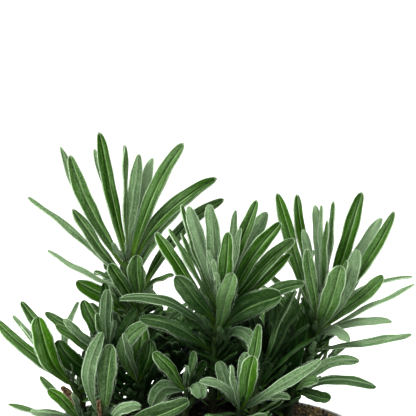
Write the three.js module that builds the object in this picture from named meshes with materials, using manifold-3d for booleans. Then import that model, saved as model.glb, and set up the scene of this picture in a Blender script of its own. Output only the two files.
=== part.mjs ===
import * as THREE from "three";
import { mergeVertices } from "three/addons/utils/BufferGeometryUtils.js";
import Module from "manifold-3d";

// A young English lavender in a round 13 cm nursery pot. Millimetres, +Z up, front at -Y.
// The origin is the middle of the pot's foot.

const POT_HEIGHT = 104;
const RIM_RADIUS = 65;
const RIM_BAND = 10;
const RIM_STEP = 2;
const FOOT_RADIUS = 46;
const POT_WALL = 2;
const POT_FLOOR = 2.4;
const FOOT_BEVEL = 1.5;
const RIM_BEVEL = 0.8;
const SHOULDER_SLOPE = 1;
const POT_SIDES = 40;
const DRAIN_HOLES = 6;
const DRAIN_RADIUS = 4.5;
const DRAIN_CIRCLE = 29;
const DRAIN_SIDES = 16;

const CLEARANCE = 0.3;
const SLOPE_CLEARANCE = 0.36;
const SOIL_BELOW_RIM = 2.5;
const SOIL_CROWN = 8;
const CROWN_POWER = 2.4;
const SOIL_RINGS = 6;
const CRUMB_HEIGHT = 0.7;
const CRUMB_POWER = 6;
const CRUMB_WAVES = { x: 0.71, y: 0.83, slantX: 0.37, slantY: 0.59, shift: 1.3 };

const STEM_FOOT_RADIUS = 1.7;
const STEM_TIP_RADIUS = 0.9;
const STEM_SIDES = 5;
const STEM_STEPS = 4;
const STEM_SUNK = 9;
const STEM_START = 0.5;
const STEM_BEND_SHARE = 0.55;
const BUD_LENGTH = 2;
const HOLE_SIDES = 6;
const HOLE_RADIUS = STEM_FOOT_RADIUS + 0.65;

// The root of a leaf sits a little off the stem's middle; shares are of the leaf's length, and
// of its width for the root's own width and the fold.
const BLADE_THICKNESS = 1.15;
const ROOT_THICKNESS_SHARE = 1.2;
const SEEN_RINGS = [0, 0.3, 0.62, 0.88];
const RULE_RINGS = [0, 0.42, 0.84];
const ROOT_WIDTH_SHARE = 0.1;
const ROOT_OFFSET = 0.45;
const TOP_ROOT = 1.3;
const LOWEST_ROOT = 0.2;
const WIDEST_AT = 0.62;
const FLARE_POWER = 1.25;
const TIP_POWER = 2.2;
const HALFWAY = 0.5;
const DEPTH_SPREAD = 0.75;
const FOLD_SHARE = 0.12;

// Two blades of different stems stay this far apart, measured between points on them.
const CLEAR_OF_OTHERS = 2.7;
const CLEAR_OF_SISTERS = 1.9;
const CLEAR_OF_GROUND = 1.4;
const SOIL_MARGIN = 1;
const SAMPLE_STEP = 2.3;
const FEWEST_SAMPLES = 6;
const LAST_FRAME = 0.995;
const SAMPLE_ROWS = [-0.8, 0, 0.8];
const ROOT_SHARE = 0.25;

// Places on the plant are written as they look from the front: mm right of the pot's axis and
// mm up the picture, seen from 8 degrees above the horizontal at 800 mm.
const EYE_TILT = THREE.MathUtils.degToRad(8);
const EYE_DISTANCE = 800;
const AIM = new THREE.Vector3(3.2, 0, 195);
const AIM_RISE = 83.2;
const LOOK = new THREE.Vector3(0, Math.cos(EYE_TILT), -Math.sin(EYE_TILT));
const PICTURE_UP = new THREE.Vector3(0, Math.sin(EYE_TILT), Math.cos(EYE_TILT));
const PICTURE_RIGHT = new THREE.Vector3(1, 0, 0);
const TO_EYE = LOOK.clone().negate();
const EYE = AIM.clone().addScaledVector(LOOK, -EYE_DISTANCE);

// Each stem: its foot (x, y), its tip (across, up, y), and its leaves. A leaf has: mm below the
// stem's tip, tip across, tip up, mm nearer to the viewer than its root, width, degrees that its
// upper side turns to the viewer, mm of arch. "turns" are the compass range of the leaves that
// follow the opposite-pair rule: 0 is right, 90 is away from the viewer.
const STEMS = [
  {
    name: "stem_tall_left",
    foot: [-22, 16],
    tip: [-30, 62, 12],
    turns: [40, 140],
    leaves: [
      [3, -40.4, 113.6, -2, 5.8, 75, 0],
      [5, -52, 104.4, 3, 6.2, 80, -2.2],
      [8, -56, 107.6, -7, 4.6, 65, -2],
      [4, -42.4, 106.8, -8, 4, 40, 0],
      [1, -29.6, 108.4, 1, 5, 20, 0],
      [2, -24.4, 104.8, -5, 5.4, 75, 0.5],
      [4, -18.8, 103.2, -9, 5.2, 75, 1],
      [5, -6.6, 109.2, 2, 6.4, 70, 3.5],
      [7, 6.8, 95.2, 5, 6.4, 80, 6.5],
      [11, -7.6, 83.6, -3, 6, 60, 3],
      [20, 9.6, 86.8, -9, 5.5, 70, 6],
      [9.5, -50.8, 82.8, 6, 5.6, 55, -1],
      [12.4, -69, 87.2, -6, 4.5, 38, 1.2],
      [14.3, -61.2, 66, -3, 4, 35, -1.5],
      [16, -42.4, 58, 9, 4.5, 35, 1.5],
      [18, -10.4, 56.8, -5, 3.5, 30, 2],
      [23, -36, 60.8, 9, 6, 80, 0],
      [21, -25.4, 64.2, 12, 7, 80, 0],
      [29, -49.6, 53.8, 1, 7, 80, 1],
    ],
  },
  {
    name: "stem_left_inner",
    foot: [-34, 2],
    tip: [-38, 25, -6],
    turns: [60, 130],
    leaves: [
      [0, -37.2, 50.8, 1, 5, 80, 0],
      [1, -46.8, 46.4, -4, 5.8, 80, 0],
      [2, -62, 41.6, -5, 4.5, 70, 0],
      [3, -57.8, 36.4, 6, 4.2, 60, 0],
      [2, -54.6, 38.8, 1, 4, 60, 0],
      [1, -41.2, 41.2, 4, 3, 60, 0],
      [1, -34, 38.4, 3, 3, 60, 0],
      [15, -57.2, 30.2, 6, 7.6, 85, -3],
    ],
  },
  {
    name: "stem_left_spray",
    foot: [-47, -2],
    tip: [-51.2, 13, -4],
    turns: [110, 200],
    leaves: [
      [1, -82, 39, 4, 5.8, 60, -1],
      [0, -75.2, 40, -3, 4.5, 40, 0],
      [0, -71.6, 46, -8.4, 5, 80, 0],
      [1, -72, 36.4, 9, 2.6, 20, 0],
      [1, -64.8, 39.6, 6, 8.4, 88, -3.2],
      [0, -48.4, 45.6, -5, 4.2, 50, 4.5],
    ],
  },
  {
    name: "stem_front_left",
    foot: [-39, -30],
    tip: [-38.5, 0, -30],
    turns: [225, 290],
    leaves: [
      [1, -38.8, 33.6, 2, 5.6, 70, 5],
      [1, -36, 28.8, 5, 8, 80, 0],
    ],
  },
  {
    name: "stem_hood",
    foot: [-22, -12],
    tip: [-25, 14, -10],
    turns: [230, 300],
    leaves: [
      [0, -20.4, 37.4, 5, 6.8, 60, 8.6],
      [0, -24, 36.4, -6, 8, 85, 0],
      [1, -30.8, 33.2, 6, 3, 40, 0],
      [1, -20, 30.4, -1, 7, 85, 0],
    ],
  },
  {
    name: "stem_centre",
    foot: [5, -8],
    tip: [8.4, 46, -14],
    turns: [40, 140],
    leaves: [
      [8, -17.6, 73.6, 3, 5.6, 80, -1],
      [6, -12.4, 75.2, 0, 4, 30, 0],
      [5, -7.6, 73.2, -4, 3, 25, 0],
      [4, -7.2, 84.8, -6, 4.5, 45, -1],
      [3, -4.8, 84, -11, 6, 70, 0],
      [4, 3.6, 84.8, 2, 6, 85, 0],
      [8, 11.2, 73.6, 8, 6, 85, 0],
      [1, 14.4, 82.4, -7, 3.5, 60, 0],
      [3, 22.8, 86.4, -10, 5.4, 75, 1],
      [5, 16.4, 75.2, 3, 3.5, 40, 0],
      [5, 26.8, 81.6, -3, 7, 80, 1.5],
      [8, 32.4, 77.6, -6, 6.2, 80, 2],
      [11, 38, 70.8, 2, 6, 75, 3],
      [13, 36.4, 65.2, -4, 5, 60, 1.5],
      [15, 12.8, 57.2, 13, 7, 80, 0],
      [14.5, 42, 53.2, 3, 5.8, 60, 4.6],
      [15, 32.4, 48.4, 8, 9.5, 85, 3],
      [19, 22.4, 24, 15, 5.5, 60, 7],
      [17.5, -32.4, 46.4, 8, 5, 50, 6.4],
      [23.5, -24.4, 39.2, 8, 6, 60, 2.6],
      [10, -10, 55.6, 7, 7.2, 85, 0],
      [16, -7.2, 42.8, 4, 5, 60, 0],
    ],
  },
  {
    name: "stem_right",
    foot: [33, 3],
    tip: [49.2, 45, 2],
    lean: 0.8,
    turns: [30, 130],
    leaves: [
      [8, 30.8, 89.2, 3, 5.6, 70, -1],
      [5, 38.8, 88.8, -3, 5.2, 60, -1],
      [2, 46, 84.4, -9, 4.6, 80, 0],
      [0, 48.8, 84.4, -4, 3, 40, 0],
      [0, 50.8, 78.4, 0, 2.6, 50, 0],
      [2, 53.2, 86, -6, 4, 30, 0],
      [5, 64.8, 89.6, -2, 6.2, 80, 0],
      [8, 72.8, 79.2, -7, 5.6, 80, 1],
      [10, 77.6, 82, 1, 5.4, 60, -1.6],
      [7, 41.2, 74.8, 3, 4.2, 60, 0],
      [11, 42.8, 66.8, 7, 5, 80, 0],
      [15, 56.4, 60, 13, 8.4, 88, 0],
      [12, 63, 66.8, 5, 6.2, 85, -2.4],
      [9, 58.8, 62.4, 9, 3.4, 60, 0],
      [12, 67.2, 63.6, 7, 3.6, 35, -2],
      [12, 73.2, 56.4, -1, 5.8, 75, -1],
      [10, 85.2, 55.2, -8, 3, 30, 5],
      [14, 86, 52.4, 3, 3.4, 30, 0],
      [13, 76.8, 37.4, 1, 4.4, 50, 1.6],
      [15, 59.6, 29.6, 9, 5, 60, 3],
      [21, 84.8, 32.6, 3, 4.2, 40, -1],
      [12, 34.4, 66, -10, 4.6, 60, 2.5],
      [23, 28, 56.4, -5, 4.4, 50, 4],
    ],
  },
  {
    name: "stem_right_low",
    foot: [35, -12],
    tip: [38.4, 11, -12],
    turns: [40, 110],
    leaves: [
      [0, 63.8, 22, -1, 4.8, 60, 4.2],
      [1, 70.4, 11.2, 4, 5, 60, 3.5],
      [2, 52.4, 7, 8, 5, 80, 0.6],
      [0, 47.2, 14, 9, 5, 40, 2],
    ],
  },
  {
    name: "stem_front",
    foot: [15, -36],
    tip: [16, 3, -36],
    turns: [240, 300],
    leaves: [
      [0, 21.2, 24, 5, 7, 88, 0],
      [0, 18.4, 25.6, -1, 5, 70, 0],
      [0, 12, 20.4, 4, 3, 40, 0],
      [0, 7.2, 21.8, -3, 5.6, 80, 0],
      [1, -0.4, 13.6, 6, 3.8, 50, 4],
      [1, 48.4, 22.4, 5, 4.6, 60, 0],
      [1, 36, 7, -5, 4.6, 50, 3],
      [0, 23.6, 36.8, -6, 4.6, 80, 0],
    ],
  },
  {
    name: "stem_front_inner",
    foot: [-6, -24],
    tip: [-4.8, 11, -24],
    turns: [250, 310],
    leaves: [
      [0, -18.4, 25.6, 3, 5.4, 85, 0],
      [0, -19.2, 4, 6, 7, 80, 4],
      [0, -2.4, 26, 0, 3.4, 60, 0],
      [0, -5.2, 20.4, 3, 2.6, 60, 0],
      [1, 2, 22, -3, 4, 80, 0],
      [0, 0, 6.8, 14, 7, 60, 3.6],
    ],
  },
  {
    name: "stem_low_left",
    foot: [-46.4, -23.4],
    tip: [-46, -2, -24],
    turns: [190, 240],
    leaves: [
      [0, -64, 16, -3, 4, 40, 0],
      [0, -61, 10.4, 3, 4.8, 80, 1],
      [1, -76.8, 4.8, 4, 2.8, 40, 0],
      [1, -68, 1.5, 9, 4, 50, 1],
      [0, -51.2, 9.2, 1, 2.4, 60, 0],
    ],
  },
  {
    name: "stem_low_front",
    foot: [-35, -41],
    tip: [-37, -6, -43],
    turns: [230, 310],
    leaves: [
      [0, -23.5, 3.4, -2, 4.8, 60, 4.4],
      [1, -4.4, 6.2, 2, 7, 85, 0],
    ],
  },
  { name: "stem_back_left", foot: [-28, 36], tip: [-31, 42, 36], turns: [0, 360], leaves: [] },
  { name: "stem_back_middle", foot: [6.4, 34], tip: [9, 40, 34], turns: [0, 360], leaves: [] },
  { name: "stem_back_right", foot: [31.5, 30.5], tip: [38, 36, 32], turns: [0, 360], leaves: [] },
  { name: "stem_inner_back", foot: [24, 12], tip: [27, 30, 14], turns: [0, 360], leaves: [] },
  { name: "stem_far_middle", foot: [-10, 50], tip: [-12, 26, 54], turns: [0, 180], leaves: [] },
  { name: "stem_far_right", foot: [24, 48], tip: [27, 24, 53], turns: [0, 180], leaves: [] },
  { name: "stem_side_left", foot: [-44, 31], tip: [-45, 19, 34], turns: [20, 160], leaves: [] },
  { name: "stem_inner_left", foot: [-9, 6], tip: [-10, 24, 8], turns: [0, 360], leaves: [] },
  { name: "stem_inner_middle", foot: [12, 17], tip: [12, 30, 19], turns: [0, 360], leaves: [] },
  { name: "stem_inner_front", foot: [21, -16], tip: [25, 18, -14], turns: [20, 180], leaves: [] },
  { name: "stem_inner_right", foot: [27, -6], tip: [30, 28, -6], turns: [0, 360], leaves: [] },
  { name: "stem_left_back", foot: [-37, 18], tip: [-39, 27, 20], turns: [0, 360], leaves: [] },
  { name: "stem_mid_left", foot: [-13, 27], tip: [-13, 30, 29], turns: [0, 360], leaves: [] },
  { name: "stem_side_right", foot: [40, 39], tip: [51, 22, 32], turns: [20, 140], leaves: [] },
  { name: "stem_front_edge", foot: [-3, -49], tip: [-3, -8, -52], turns: [200, 340], leaves: [] },
  { name: "stem_front_right", foot: [22, -46], tip: [25, -8, -49], turns: [180, 360], leaves: [] },
];

// Outline of the dense foliage as seen from the front (across, up). The leaves of the rule stay
// behind it, so the gaps between the taller stems stay open.
const DENSE_OUTLINE = [
  [-52, -1], [-51, 14], [-44, 30], [-46, 46], [-38, 62], [-23, 62], [-15, 44], [-2, 48], [8, 62],
  [20, 56], [34, 48], [42, 60], [47, 76], [55, 76], [59, 52], [54, 32], [50, 22], [49, 12], [40, 8],
  [38, -1],
];

// Nearer than the front plane the leaves of the rule stay low, under the leaves placed by eye.
const FRONT_PLANE = -20;
const LOW_LINE = 2;

// Leaves that follow the rule: opposite pairs, each pair a quarter turn on from the last.
const RULE_SEED = 20417;
const PAIR_STEP = 4.1;
const PAIR_TURN = 90;
const TURN_WANDER = 12;
const RULE_LENGTH = [27, 38];
const RULE_WIDTH = [4.6, 6.4];
const RULE_PITCH = [22, 74];
const RULE_DROOP = 0.09;
const LOWEST_PAIR = 4;
const FEWEST_PAIRS = 3;
const BELOW_SEEN = 7;

// How a leaf steps aside: depth of its tip in mm, or a shorter length, pitch and turn in degrees.
const DEPTH_TRIES = [0, 4, -4, 8, -8, 12, -12, 16, -16, 20, -20];
const LENGTH_TRIES = [1, 0.8, 0.62];
const PITCH_TRIES = [0, 10, -10, 22];
const TURN_TRIES = [0, 18, -18, 36, -36, 56, -56];

const GREEN = "#3f6b34";
const POT_WHITE = "#dcdcd8";
const SOIL_BROWN = "#2a1f16";

const wasm = await Module();
wasm.setup();
const SAME_POINT = 1e-4;

// Park and Miller's generator, the same numbers each time.
let seed = RULE_SEED;
const SEED_FACTOR = 16807;
const SEED_RANGE = 2147483647;
function draw(low, high) {
  seed = (seed * SEED_FACTOR) % SEED_RANGE;
  return low + ((high - low) * seed) / SEED_RANGE;
}

// The point that looks to be at (across, up) from the front and lies at depth y.
function seen(across, up, y) {
  const ray = LOOK.clone()
    .addScaledVector(PICTURE_RIGHT, (across - AIM.x) / EYE_DISTANCE)
    .addScaledVector(PICTURE_UP, (up - AIM_RISE) / EYE_DISTANCE);
  return EYE.clone().addScaledVector(ray, (y - EYE.y) / ray.y);
}

function soilEdgeRadius() {
  return RIM_RADIUS - POT_WALL - CLEARANCE;
}

// Soil surface: a low dome with crumbs on it.
function soilHeight(x, y) {
  const share = Math.min(1, Math.hypot(x, y) / soilEdgeRadius());
  const dome = POT_HEIGHT - SOIL_BELOW_RIM + SOIL_CROWN * (1 - share ** CROWN_POWER);
  const wave = CRUMB_WAVES;
  const bumps = Math.sin(wave.x * x + wave.shift) * Math.cos(wave.y * y);
  const slants = Math.sin(wave.slantX * x - wave.slantY * y);
  return dome + CRUMB_HEIGHT * (bumps + slants) * (1 - share ** CRUMB_POWER);
}

function stemPath(stem) {
  const [x, y] = stem.foot;
  const start = new THREE.Vector3(x, y, soilHeight(x, y) + STEM_START);
  const end = seen(...stem.tip);
  const lean = stem.lean ?? 0;
  const bend = new THREE.Vector3(lean, lean, STEM_BEND_SHARE).multiply(end.clone().sub(start)).add(start);
  return new THREE.QuadraticBezierCurve3(start, bend, end);
}

// Share of the stem's length at which a leaf is rooted, never quite at its tip or foot.
function rootShare(stem, below) {
  return Math.max(LOWEST_ROOT, 1 - Math.max(below, TOP_ROOT) / stem.length);
}

function stemRadius(share) {
  return STEM_FOOT_RADIUS + (STEM_TIP_RADIUS - STEM_FOOT_RADIUS) * share;
}

// Blade half width along its length: narrow root, widest past the middle, round tip.
function bladeHalf(leaf, share) {
  const grown = Math.sin((Math.PI / 2) * Math.min(1, share / WIDEST_AT)) ** FLARE_POWER;
  const past = Math.max(0, (share - WIDEST_AT) / (1 - WIDEST_AT));
  const root = ROOT_WIDTH_SHARE + (1 - ROOT_WIDTH_SHARE) * grown;
  return (leaf.width / 2) * root * Math.sqrt(Math.max(0, 1 - past ** TIP_POWER));
}

// Middle, side and upper directions of a blade at a share of its length.
function bladeFrame(leaf, share) {
  const along = leaf.curve.getTangent(share);
  const upper = leaf.facing.clone().addScaledVector(along, -leaf.facing.dot(along)).normalize();
  const side = new THREE.Vector3().crossVectors(along, upper);
  return { middle: leaf.curve.getPoint(share), side, upper };
}

function makeLeaf(stem, root, tip, bend, width, facing, isSeen) {
  const curve = new THREE.QuadraticBezierCurve3(root, bend, tip);
  const leaf = { stem: stem.name, curve, width, facing, seen: isSeen, length: curve.getLength() };
  leaf.samples = leafSamples(leaf);
  return leaf;
}

function leafSamples(leaf) {
  const steps = Math.max(FEWEST_SAMPLES, Math.ceil(leaf.length / SAMPLE_STEP));
  const samples = [];
  for (let step = 1; step <= steps; step += 1) {
    const share = step / steps;
    const { middle, side } = bladeFrame(leaf, Math.min(share, LAST_FRAME));
    const half = bladeHalf(leaf, share);
    for (const row of SAMPLE_ROWS) {
      samples.push({ at: middle.clone().addScaledVector(side, row * half), share });
    }
  }
  return samples;
}

// How a point looks from the front: across and up.
function pictured(point) {
  const ray = point.clone().sub(EYE);
  const scale = EYE_DISTANCE / ray.dot(LOOK);
  return [AIM.x + ray.x * scale, AIM_RISE + ray.dot(PICTURE_UP) * scale];
}

// True where the point is below the picture or inside the outline of the dense foliage.
function isBehind(point) {
  const [across, up] = pictured(point);
  if (up < 0) return true;
  if (point.y <= FRONT_PLANE && up >= LOW_LINE) return false;
  let inside = false;
  DENSE_OUTLINE.forEach(([x, y], index) => {
    const [nextX, nextY] = DENSE_OUTLINE[(index + 1) % DENSE_OUTLINE.length];
    const crosses = y > up !== nextY > up;
    if (crosses && across < x + ((nextX - x) * (up - y)) / (nextY - y)) inside = !inside;
  });
  return inside;
}

function keepsBehind(leaf) {
  return leaf.samples.every((sample) => sample.share < ROOT_SHARE || isBehind(sample.at));
}

// A leaf placed by how it looks from the front. Its tip may step back or forth along the line
// of sight, which leaves the look the same.
function seenLeaf(stem, row, stepAside) {
  const [below, across, up, nearer, width, turned, arch] = row;
  const path = stem.path;
  const share = rootShare(stem, below);
  const root = path.getPoint(share);
  const tip = seen(across, up, root.y - nearer + stepAside);
  const outward = tip.clone().sub(root).projectOnPlane(path.getTangent(share)).normalize();
  root.addScaledVector(outward, stemRadius(share) * ROOT_OFFSET);
  const chord = tip.clone().sub(root);
  const flat = chord.clone().addScaledVector(LOOK, -chord.dot(LOOK)).normalize();
  const above = new THREE.Vector3().crossVectors(flat, TO_EYE);
  if (above.z < 0) above.negate();
  const bend = root.clone().addScaledVector(chord, HALFWAY).addScaledVector(above, 2 * arch);
  bend.addScaledVector(LOOK, (DEPTH_SPREAD - HALFWAY) * chord.dot(LOOK));
  const angle = THREE.MathUtils.degToRad(turned);
  const facing = above.clone().multiplyScalar(Math.cos(angle));
  facing.addScaledVector(TO_EYE, Math.sin(angle));
  return makeLeaf(stem, root, tip, bend, width, facing, true);
}

// A leaf of the pair rule, set by compass turn and by pitch away from the stem.
function ruleLeaf(stem, share, turn, pitch, length, width) {
  const root = stem.path.getPoint(share);
  const azimuth = THREE.MathUtils.degToRad(turn);
  const lean = THREE.MathUtils.degToRad(pitch);
  const outward = new THREE.Vector3(Math.cos(azimuth), Math.sin(azimuth), 0);
  const upward = new THREE.Vector3(0, 0, 1);
  root.addScaledVector(outward, stemRadius(share) * ROOT_OFFSET);
  const tip = root.clone().addScaledVector(outward, length * Math.sin(lean));
  tip.addScaledVector(upward, length * Math.cos(lean));
  const bend = root.clone().lerp(tip, HALFWAY);
  bend.addScaledVector(upward, length * RULE_DROOP * 2 * Math.sin(lean));
  bend.addScaledVector(outward, -length * RULE_DROOP * Math.cos(lean));
  return makeLeaf(stem, root, tip, bend, width, upward, false);
}

function inGround(point) {
  const radius = Math.hypot(point.x, point.y);
  if (radius > RIM_RADIUS + CLEAR_OF_GROUND) return false;
  const top = radius < soilEdgeRadius() - SOIL_MARGIN ? soilHeight(point.x, point.y) : POT_HEIGHT;
  return point.z < top + CLEAR_OF_GROUND;
}

// Least distance between two leaves, less what they have to keep.
function leafGap(leaf, other) {
  const sisters = leaf.stem === other.stem;
  const from = sisters ? ROOT_SHARE : 0;
  const keep = sisters ? CLEAR_OF_SISTERS : CLEAR_OF_OTHERS;
  if (leaf.box && other.box && !leaf.box.intersectsBox(other.box)) return Infinity;
  let least = Infinity;
  for (const a of leaf.samples) {
    if (a.share <= from) continue;
    for (const b of other.samples) {
      if (b.share <= from) continue;
      least = Math.min(least, a.at.distanceToSquared(b.at));
    }
  }
  return Math.sqrt(least) - keep;
}

function stemGap(leaf, stem) {
  if (leaf.stem === stem.name) return Infinity;
  let least = Infinity;
  for (const a of leaf.samples) {
    for (const b of stem.samples) least = Math.min(least, a.at.distanceToSquared(b));
  }
  return Math.sqrt(least) - CLEAR_OF_OTHERS;
}

// How clear a leaf is of all that already stands; below zero it would touch.
function clearance(leaf, stems, leaves) {
  const outer = leaf.samples.filter((sample) => sample.share > ROOT_SHARE);
  if (outer.some((sample) => inGround(sample.at))) return -CLEAR_OF_GROUND;
  leaf.box = new THREE.Box3().setFromPoints(leaf.samples.map((sample) => sample.at));
  leaf.box.expandByScalar(CLEAR_OF_OTHERS / 2);
  let least = Infinity;
  for (const stem of stems) least = Math.min(least, stemGap(leaf, stem));
  for (const other of leaves) {
    if (least < 0) break;
    least = Math.min(least, leafGap(leaf, other));
  }
  return least;
}

function prepareStems() {
  for (const stem of STEMS) {
    stem.path = stemPath(stem);
    stem.length = stem.path.getLength();
    const count = Math.ceil(stem.length / SAMPLE_STEP);
    stem.samples = stem.path.getPoints(count);
  }
}

function placeSeenLeaves(leaves) {
  for (const stem of STEMS) {
    for (const row of stem.leaves) {
      for (const stepAside of DEPTH_TRIES) {
        const leaf = seenLeaf(stem, row, stepAside);
        if (clearance(leaf, STEMS, leaves) < 0) continue;
        leaves.push(leaf);
        break;
      }
    }
  }
}

function clearRuleLeaf(stem, share, turn, pitch, length, width, leaves) {
  for (const shorter of LENGTH_TRIES) {
    for (const lower of PITCH_TRIES) {
      for (const aside of TURN_TRIES) {
        const leaf = ruleLeaf(stem, share, turn + aside, pitch + lower, length * shorter, width);
        if (!keepsBehind(leaf)) continue;
        if (clearance(leaf, STEMS, leaves) >= 0) return leaf;
      }
    }
  }
  return null;
}

function placeRuleLeaves(leaves) {
  for (const stem of STEMS) {
    const [firstTurn, lastTurn] = stem.turns;
    const topmost = stem.leaves.length > 0 ? BELOW_SEEN : 0;
    const leafy = stem.length - topmost - LOWEST_PAIR;
    const pairs = Math.max(FEWEST_PAIRS, Math.floor(leafy / PAIR_STEP));
    let turn = draw(0, 360);
    for (let pair = 0; pair < pairs; pair += 1) {
      turn += PAIR_TURN + draw(-TURN_WANDER, TURN_WANDER);
      const share = rootShare(stem, topmost + pair * PAIR_STEP);
      const pitch = RULE_PITCH[0] + ((RULE_PITCH[1] - RULE_PITCH[0]) * pair) / pairs;
      for (const half of [0, 180]) {
        const length = draw(...RULE_LENGTH);
        const width = draw(...RULE_WIDTH);
        const own = (((turn + half) % 360) + 360) % 360;
        const squeezed = firstTurn + ((lastTurn - firstTurn) * own) / 360;
        const leaf = clearRuleLeaf(stem, share, squeezed, pitch, length, width, leaves);
        if (leaf) leaves.push(leaf);
      }
    }
  }
}

function flatGeometry(points, faces) {
  const geometry = new THREE.BufferGeometry();
  const numbers = points.flatMap((point) => [point.x, point.y, point.z]);
  geometry.setAttribute("position", new THREE.Float32BufferAttribute(numbers, 3));
  geometry.setIndex(faces.flat());
  return geometry;
}

// Four-sided blade: left edge, ridge above, right edge, ridge below.
function bladeGeometry(leaf) {
  const points = [];
  const stations = leaf.seen ? SEEN_RINGS : RULE_RINGS;
  for (const share of stations) {
    const { middle, side, upper } = bladeFrame(leaf, share);
    const half = bladeHalf(leaf, share);
    const fold = -leaf.width * FOLD_SHARE;
    const thick = Math.min(BLADE_THICKNESS, half * ROOT_THICKNESS_SHARE) / 2;
    points.push(middle.clone().addScaledVector(side, -half));
    points.push(middle.clone().addScaledVector(upper, fold * share + thick));
    points.push(middle.clone().addScaledVector(side, half));
    points.push(middle.clone().addScaledVector(upper, fold * share - thick));
  }
  points.push(leaf.curve.getPoint(1));
  const faces = [[0, 2, 1], [0, 3, 2]];
  const rings = stations.length;
  for (let ring = 0; ring < rings - 1; ring += 1) {
    for (let corner = 0; corner < 4; corner += 1) {
      const a = ring * 4 + corner;
      const b = ring * 4 + ((corner + 1) % 4);
      faces.push(corner % 2 ? [a, b, a + 4] : [a, b, b + 4]);
      faces.push(corner % 2 ? [a + 4, b, b + 4] : [a, b + 4, a + 4]);
    }
  }
  const last = (rings - 1) * 4;
  for (let corner = 0; corner < 4; corner += 1) {
    faces.push([last + corner, last + ((corner + 1) % 4), rings * 4]);
  }
  return flatGeometry(points, faces);
}

function stemGeometry(stem) {
  const centres = [];
  const foot = stem.path.getPoint(0);
  centres.push([foot.clone().setZ(foot.z - STEM_SUNK), STEM_FOOT_RADIUS]);
  for (let step = 0; step <= STEM_STEPS; step += 1) {
    const share = step / STEM_STEPS;
    centres.push([stem.path.getPoint(share), stemRadius(share)]);
  }
  const points = [];
  for (const [centre, radius] of centres) {
    for (let corner = 0; corner < STEM_SIDES; corner += 1) {
      const angle = (corner / STEM_SIDES) * Math.PI * 2;
      const spoke = new THREE.Vector3(Math.cos(angle), Math.sin(angle), 0);
      points.push(centre.clone().addScaledVector(spoke, radius));
    }
  }
  const faces = [];
  for (let corner = 1; corner < STEM_SIDES - 1; corner += 1) faces.push([0, corner + 1, corner]);
  for (let ring = 0; ring < centres.length - 1; ring += 1) {
    for (let corner = 0; corner < STEM_SIDES; corner += 1) {
      const a = ring * STEM_SIDES + corner;
      const b = ring * STEM_SIDES + ((corner + 1) % STEM_SIDES);
      faces.push([a, b, b + STEM_SIDES]);
      faces.push([a, b + STEM_SIDES, a + STEM_SIDES]);
    }
  }
  const bud = stem.path.getPoint(1).addScaledVector(stem.path.getTangent(1), BUD_LENGTH);
  points.push(bud);
  const last = (centres.length - 1) * STEM_SIDES;
  for (let corner = 0; corner < STEM_SIDES; corner += 1) {
    faces.push([last + corner, last + ((corner + 1) % STEM_SIDES), points.length - 1]);
  }
  return flatGeometry(points, faces);
}

function toSolid(geometry) {
  const bare = geometry.clone();
  bare.deleteAttribute("normal");
  bare.deleteAttribute("uv");
  const merged = mergeVertices(bare, SAME_POINT);
  const index = Array.from(merged.index.array);
  const triVerts = [];
  for (let corner = 0; corner < index.length; corner += 3) {
    const [a, b, c] = index.slice(corner, corner + 3);
    if (a !== b && b !== c && c !== a) triVerts.push(a, b, c);
  }
  const vertProperties = new Float32Array(merged.attributes.position.array);
  const mesh = new wasm.Mesh({ numProp: 3, vertProperties, triVerts: new Uint32Array(triVerts) });
  return new wasm.Manifold(mesh);
}

function toGeometry(solid) {
  const mesh = solid.getMesh();
  const geometry = new THREE.BufferGeometry();
  const place = new THREE.BufferAttribute(new Float32Array(mesh.vertProperties), 3);
  geometry.setAttribute("position", place);
  geometry.setIndex(Array.from(mesh.triVerts));
  geometry.computeVertexNormals();
  return geometry;
}

function leafyStem(stem, leaves) {
  let solid = toSolid(stemGeometry(stem));
  for (const leaf of leaves) {
    if (leaf.stem === stem.name) solid = solid.add(toSolid(bladeGeometry(leaf)));
  }
  return toGeometry(solid);
}

// The pot: tapered wall, a stepped band round the rim, flat foot with drain holes.
function potGeometry() {
  const shoulder = POT_HEIGHT - RIM_BAND;
  const wallTop = RIM_RADIUS - RIM_STEP;
  const profile = [
    [0, 0],
    [FOOT_RADIUS - FOOT_BEVEL, 0],
    [FOOT_RADIUS, FOOT_BEVEL],
    [wallTop, shoulder - SHOULDER_SLOPE],
    [RIM_RADIUS, shoulder],
    [RIM_RADIUS, POT_HEIGHT - RIM_BEVEL],
    [RIM_RADIUS - RIM_BEVEL, POT_HEIGHT],
    [RIM_RADIUS - POT_WALL, POT_HEIGHT],
    [RIM_RADIUS - POT_WALL, shoulder + SHOULDER_SLOPE],
    [wallTop - POT_WALL, shoulder - SHOULDER_SLOPE],
    [FOOT_RADIUS - POT_WALL, POT_FLOOR],
    [0, POT_FLOOR],
  ];
  const points = profile.map(([radius, height]) => new THREE.Vector2(radius, height));
  let pot = toSolid(standUp(new THREE.LatheGeometry(points, POT_SIDES)));
  for (let hole = 0; hole < DRAIN_HOLES; hole += 1) {
    const angle = (hole / DRAIN_HOLES) * Math.PI * 2;
    const drill = upright(DRAIN_RADIUS, POT_FLOOR * 4, DRAIN_SIDES);
    drill.translate(DRAIN_CIRCLE * Math.cos(angle), DRAIN_CIRCLE * Math.sin(angle), 0);
    pot = pot.subtract(toSolid(drill));
  }
  return toGeometry(pot);
}

function standUp(geometry) {
  return geometry.rotateX(Math.PI / 2);
}

function upright(radius, height, sides) {
  return standUp(new THREE.CylinderGeometry(radius, radius, height, sides));
}

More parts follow.
